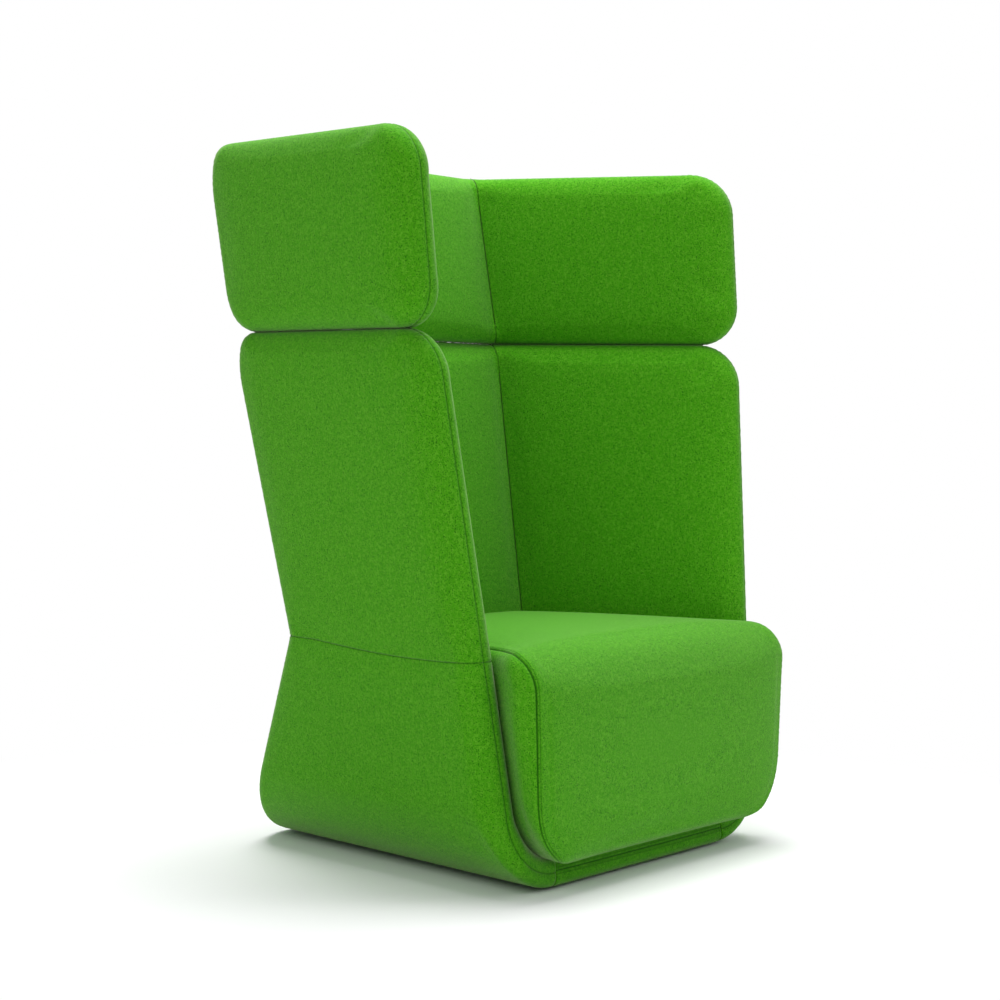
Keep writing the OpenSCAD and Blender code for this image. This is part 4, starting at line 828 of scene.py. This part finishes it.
def seat_profile(u):
    """Side outline of the seat, u from 0 to 8: under it to the front, its low corner, the front, its
    round top corner, the top, the rear top corner, the rear and its low corner. Gives its points and
    their outward ways, as y and z."""
    y0, y1, z0, z1 = SEAT_FRONT_Y, SEAT_REAR_Y, SEAT_LOW, SEAT_EDGE_Z
    low, top, rear = SEAT_LOW_R, SEAT_FRONT_R, SEAT_REAR_R
    lines = [((y1 - rear, z0), (y0 + low, z0), (0, -1)), ((y0, z0 + low), (y0, z1 - top), (-1, 0)),
             ((y0 + top, z1), (y1 - rear, z1), (0, 1)), ((y1, z1 - rear), (y1, z0 + rear), (1, 0))]
    arcs = [((y0 + low, z0 + low), low, -QUARTER), ((y0 + top, z1 - top), top, -math.pi),
            ((y1 - rear, z1 - rear), rear, QUARTER), ((y1 - rear, z0 + rear), rear, 0.0)]
    points, ways = [], []
    for k in range(8):
        f = u[(u >= k) & (u < k + 1)][:, None] - k
        if k % 2:
            centre, r, start = arcs[k // 2]
            angle = start - f * QUARTER
            way = np.concatenate([np.cos(angle), np.sin(angle)], axis=1)
            points.append(np.array(centre) + r * way)
        else:
            a, b, outwards = np.array(lines[k // 2], float)
            way = np.broadcast_to(outwards, (len(f), 2))
            points.append(a + (b - a) * f)
        ways.append(way)
    return np.concatenate(points), np.concatenate(ways)


def seat_block(v, u):
    """Seat by v across it and u round its side outline. From -2 to -1 and from 1 to 2 the outline shrinks
    to the middle of a side panel, and in between it runs across the top and front, drawn in by a quarter
    ellipse at its two seams and crowned in the middle."""
    outline, way = seat_profile(u)
    y, z = outline[:, 0], outline[:, 1]
    a = np.clip(v, -1, 1)[:, None]
    gap = np.clip((1 - np.abs(a)) * seat_half(y, z)[None, :] / EDGE_WIDE, 0, 1)
    inset = EDGE_DEEP * (1 - np.sqrt(1 - (1 - gap) ** 2))
    up = np.clip((z - SEAT_LOW) / (SEAT_EDGE_Z - SEAT_LOW), 0, 1)
    behind = np.clip((y - SEAT_FRONT_Y) / (SEAT_REAR_Y - SEAT_FRONT_Y), 0, 1)
    front = np.sin(math.pi * up) * (way[:, 0] < -FACING)
    top = np.sin(math.pi * behind) ** 0.5 * (way[:, 1] > FACING) * way[:, 1]
    rise = (TOP_CROWN * top + FRONT_CROWN * front)[None, :] * (1 - np.abs(a) ** 3)
    yz = outline[None] + way[None] * (rise - inset)[..., None]
    shrink = np.clip(2 - np.abs(v), 0, 1)[:, None]
    centre = np.array([(SEAT_FRONT_Y + SEAT_REAR_Y) / 2, (SEAT_LOW + SEAT_EDGE_Z) / 2])
    yz = centre + (yz - centre) * (PANEL_MIDDLE + (1 - PANEL_MIDDLE) * shrink[..., None])
    drawn = SEAM_IN * np.clip((yz[..., 1] - SEAM_IN_Z) / SEAM_IN_RISE, SEAM_IN_LEAST, 1)
    near = np.clip((1 - shrink) * PANEL_REACH / PANEL_ROUND, 0, 1)
    x = a * (seat_half(yz[..., 0], yz[..., 1]) - drawn * (1 - np.sqrt(1 - (1 - near) ** 2)))
    return np.stack([x, yz[..., 0], yz[..., 1]], axis=-1)


def seat_seams(points):
    """Seam lines of the seat: its two boxing seams, and the lines held at its rear and side panels."""
    boxing = [points[np.searchsorted(seat_v, k)] for k in (-1, 1)]
    return boxing + [points[:, 0], points[0], points[-1]]


edge = steps((0, 12), (0.04, 16), (0.2, 8), (1, 1))
strip = steps((-1, 26), (-0.92, 90), (0.92, 26), (1, 1))
seat_v = np.concatenate([-1 - edge[:0:-1], strip, 1 + edge[1:]])
seat_u = columns(14, 12, 70, 34, 110, 10, 14, 6)
on_strip = (np.abs(seat_v) < 1)[:, None].astype(float)
kinds = [(*BOXING_SEAM, on_strip)] * 2
seat, shade = sewn_cover(seat_block, seat_v, seat_u, seat_seams, kinds, 0.004)
upholstery("seat_block_pad", seat, shade, "seat_cover", "seat_foam")

# Webbing: elastic straps stapled across and along the seat box, woven from rubber thread and black
# polypropylene yarn.
WEBBING = {"Yarn": (0.045, 0.045, 0.05, 1), "Gap": (0.015, 0.015, 0.017, 1)}
YARNS = 120


def webbing_weave():
    """Node group: the product of two waves, along X and Y, makes a basket weave in colour and height."""
    group, colours, place, end = new_pattern("webbing_weave", *WEBBING, rough=False)
    yarns = {"Vector": place, "Scale": YARNS}
    waves = [add_node(group, "TexWave", yarns, bands_direction=way).outputs["Fac"] for way in "XY"]
    cross = add_node(group, "Math", dict(enumerate(waves)), operation="MULTIPLY").outputs["Value"]
    connect(group, end, {"Colour": blend(group, cross, colours["Gap"], colours["Yarn"]), "Height": cross})
    return group


weave = webbing_weave()
strap = new_material("black_webbing", weave, WEBBING, {"Roughness": 0.8}, 0.5, 0.0005)
finish_nodes(strap, ["webbing_across", "webbing_along"])

# Dust cloth: black non-woven polypropylene, stapled under the base board between the covers' hems,
# with a hole round each glide that this sheet leaves out. It is nearly flat and sags a little between its
# staples.
CLOTH = {"Yarn": (0.03, 0.03, 0.032, 1), "Gap": (0.012, 0.012, 0.013, 1)}
CLOTH_EDGE, CLOTH_SAG, CLOTH_CREASE, CLOTH_ROWS = 0.002, 0.0015, 0.3, 60
cloth_lows, cloth_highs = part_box("dust_cloth")


def dust_sheet(v, u):
    """Thin closed sheet: v from 0 to 1 across its underside from left to right, and u from 0 to 2 back
    along the underside and forward again over the top. It sags most in the middle, in slight waves."""
    f = np.where(u < 1, u, 2 - u)[None, :]
    y = cloth_lows[1] + (cloth_highs[1] - cloth_lows[1]) * f
    half = plane_x(RAIL_END_T - CLOTH_EDGE, y)
    across = (2 * v - 1)[:, None]
    waves = 1 + CLOTH_CREASE * np.sin(9 * across + 5 * f)
    sag = -CLOTH_SAG * np.sin(math.pi * v)[:, None] * np.sin(math.pi * f) * waves
    over = np.where((u >= 1)[None, :], cloth_highs[2], cloth_lows[2])
    return np.stack([across * half, y + 0 * across, over + sag], axis=-1)


cloth_v = steps((0, 60), (1, 1))
cloth_u = np.concatenate([np.linspace(k, k + 0.9999, CLOTH_ROWS) for k in (0, 1)])
points = dust_sheet(cloth_v, cloth_u)
cloth = new_object("dust_cloth_sheet", closed_mesh("dust_cloth_sheet", points))
black_cloth = new_material("black_dust_cloth", weave, CLOTH, {"Roughness": 0.95}, 0.3, 0.0002)
cloth.data.materials.append(black_cloth)
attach(cloth, "chair")
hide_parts("dust_cloth")

# Levelling glides: turned black nylon feet on a threaded stud, screwed up into inserts in the base
# board. Their moulded skin has a fine grain.
NYLON = {"Skin": (0.018, 0.018, 0.02, 1), "Worn": (0.05, 0.05, 0.052, 1)}


def moulded_nylon():
    """Node group: a fine noise gives the moulded skin its grain in colour, roughness and height."""
    group, colours, place, end = new_pattern("moulded_nylon", *NYLON)
    grain = noise(group, place, 700)
    connect(group, end, {"Colour": blend(group, grain, colours["Skin"], colours["Worn"]),
                         "Roughness": between(group, grain, 0.45, 0.7), "Height": grain})
    return group


nylon = new_material("black_nylon", moulded_nylon(), NYLON, {}, 0.2, 0.0002)
finish_nodes(nylon, ["glide_front_left", "glide_front_right", "glide_rear_left", "glide_rear_right"])

# Studio: a pale floor that fades into white, three large soft lamps, from above and from the right and
# left in front, and the camera where the photograph was taken from.
FLOOR_HALF, FADE_FROM, FADE_TO, WORLD_LIGHT = 30, 0.75, 1.6, 0.38
FLOOR_CORNERS = [(x * FLOOR_HALF, y * FLOOR_HALF, 0) for x, y in ((-1, -1), (1, -1), (1, 1), (-1, 1))]


def seen_rays(tree):
    """Value of 1 for the rays that show a background: camera, glossy and transmission rays."""
    rays = add_node(tree, "LightPath", {}).outputs
    factor = rays["Is Camera Ray"]
    for kind in ("Is Glossy Ray", "Is Transmission Ray"):
        factor = add_node(tree, "Math", {0: factor, 1: rays[kind]}, operation="MAXIMUM").outputs["Value"]
    return factor


def mixed_out(tree, out, factor, first, second):
    """Mixes two shaders into the output of a material or of the world."""
    mix = add_node(tree, "MixShader", {"Fac": factor, 1: first, 2: second})
    tree.links.new(mix.outputs["Shader"], tree.nodes[out].inputs["Surface"])


floor_mesh = bpy.data.meshes.new("studio_floor")
floor_mesh.from_pydata(FLOOR_CORNERS, [], [(0, 1, 2, 3)])
floor = new_object("studio_floor", floor_mesh)
floor_paint = bpy.data.materials.new("pale_floor")
floor_paint.use_nodes = True
tree = floor_paint.node_tree
paint = connect(tree, tree.nodes["Principled BSDF"],
                {"Base Color": (0.93, 0.93, 0.93, 1), "Roughness": 0.9, "Specular IOR Level": 0.1})
place = add_node(tree, "TexCoord", {}).outputs["Object"]
distance = add_node(tree, "VectorMath", {0: place}, operation="LENGTH").outputs["Value"]
fade = spread(tree, distance, FADE_FROM, FADE_TO)
shown = add_node(tree, "Math", {0: fade, 1: seen_rays(tree)}, operation="MULTIPLY").outputs["Value"]
glow = add_node(tree, "Emission", {}).outputs["Emission"]
mixed_out(tree, "Material Output", shown, paint.outputs["BSDF"], glow)
floor_mesh.materials.append(floor_paint)

world = bpy.data.worlds.new("white_studio")
bpy.context.scene.world = world
world.use_nodes = True
tree = world.node_tree
white = connect(tree, tree.nodes["Background"], {"Color": (1, 1, 1, 1)}).outputs["Background"]
light = add_node(tree, "Background", {"Color": (0.97, 0.985, 1, 1), "Strength": WORLD_LIGHT})
mixed_out(tree, "World Output", seen_rays(tree), light.outputs["Background"], white)


def soft_lamp(name, place, aim, size, power):
    """Square area lamp at a place, turned to face a point."""
    lamp = bpy.data.lights.new(name, "AREA")
    lamp.size, lamp.energy = size, power
    holder = new_object(name, lamp)
    holder.location = place
    holder.rotation_euler = (Vector(aim) - Vector(place)).to_track_quat("-Z", "Y").to_euler()


soft_lamp("lamp_above", (0.5, 0.4, 4.2), (0.1, 0, 0.6), 3.0, 220)
soft_lamp("lamp_right", (1.6, -4.0, 3.0), (0, 0, 0.7), 2.5, 40)
soft_lamp("lamp_left", (-4.5, -1.2, 2.8), (0, 0, 0.7), 2.5, 60)

camera = bpy.data.cameras.new("photo_camera")
camera.lens, camera.sensor_width, camera.shift_x = 88.09, 36.0, -0.001
camera.clip_end = 100
eye = new_object("photo_camera", camera)
eye.matrix_world = Matrix(((0.571932, 0.022224, -0.820000, -3.972),
                           (-0.820187, 0.032199, -0.571189, -2.7867),
                           (0.013709, 0.999234, 0.036644, 0.867),
                           (0, 0, 0, 1)))
bpy.context.scene.camera = eye
bpy.context.scene.view_settings.view_transform = "Standard"
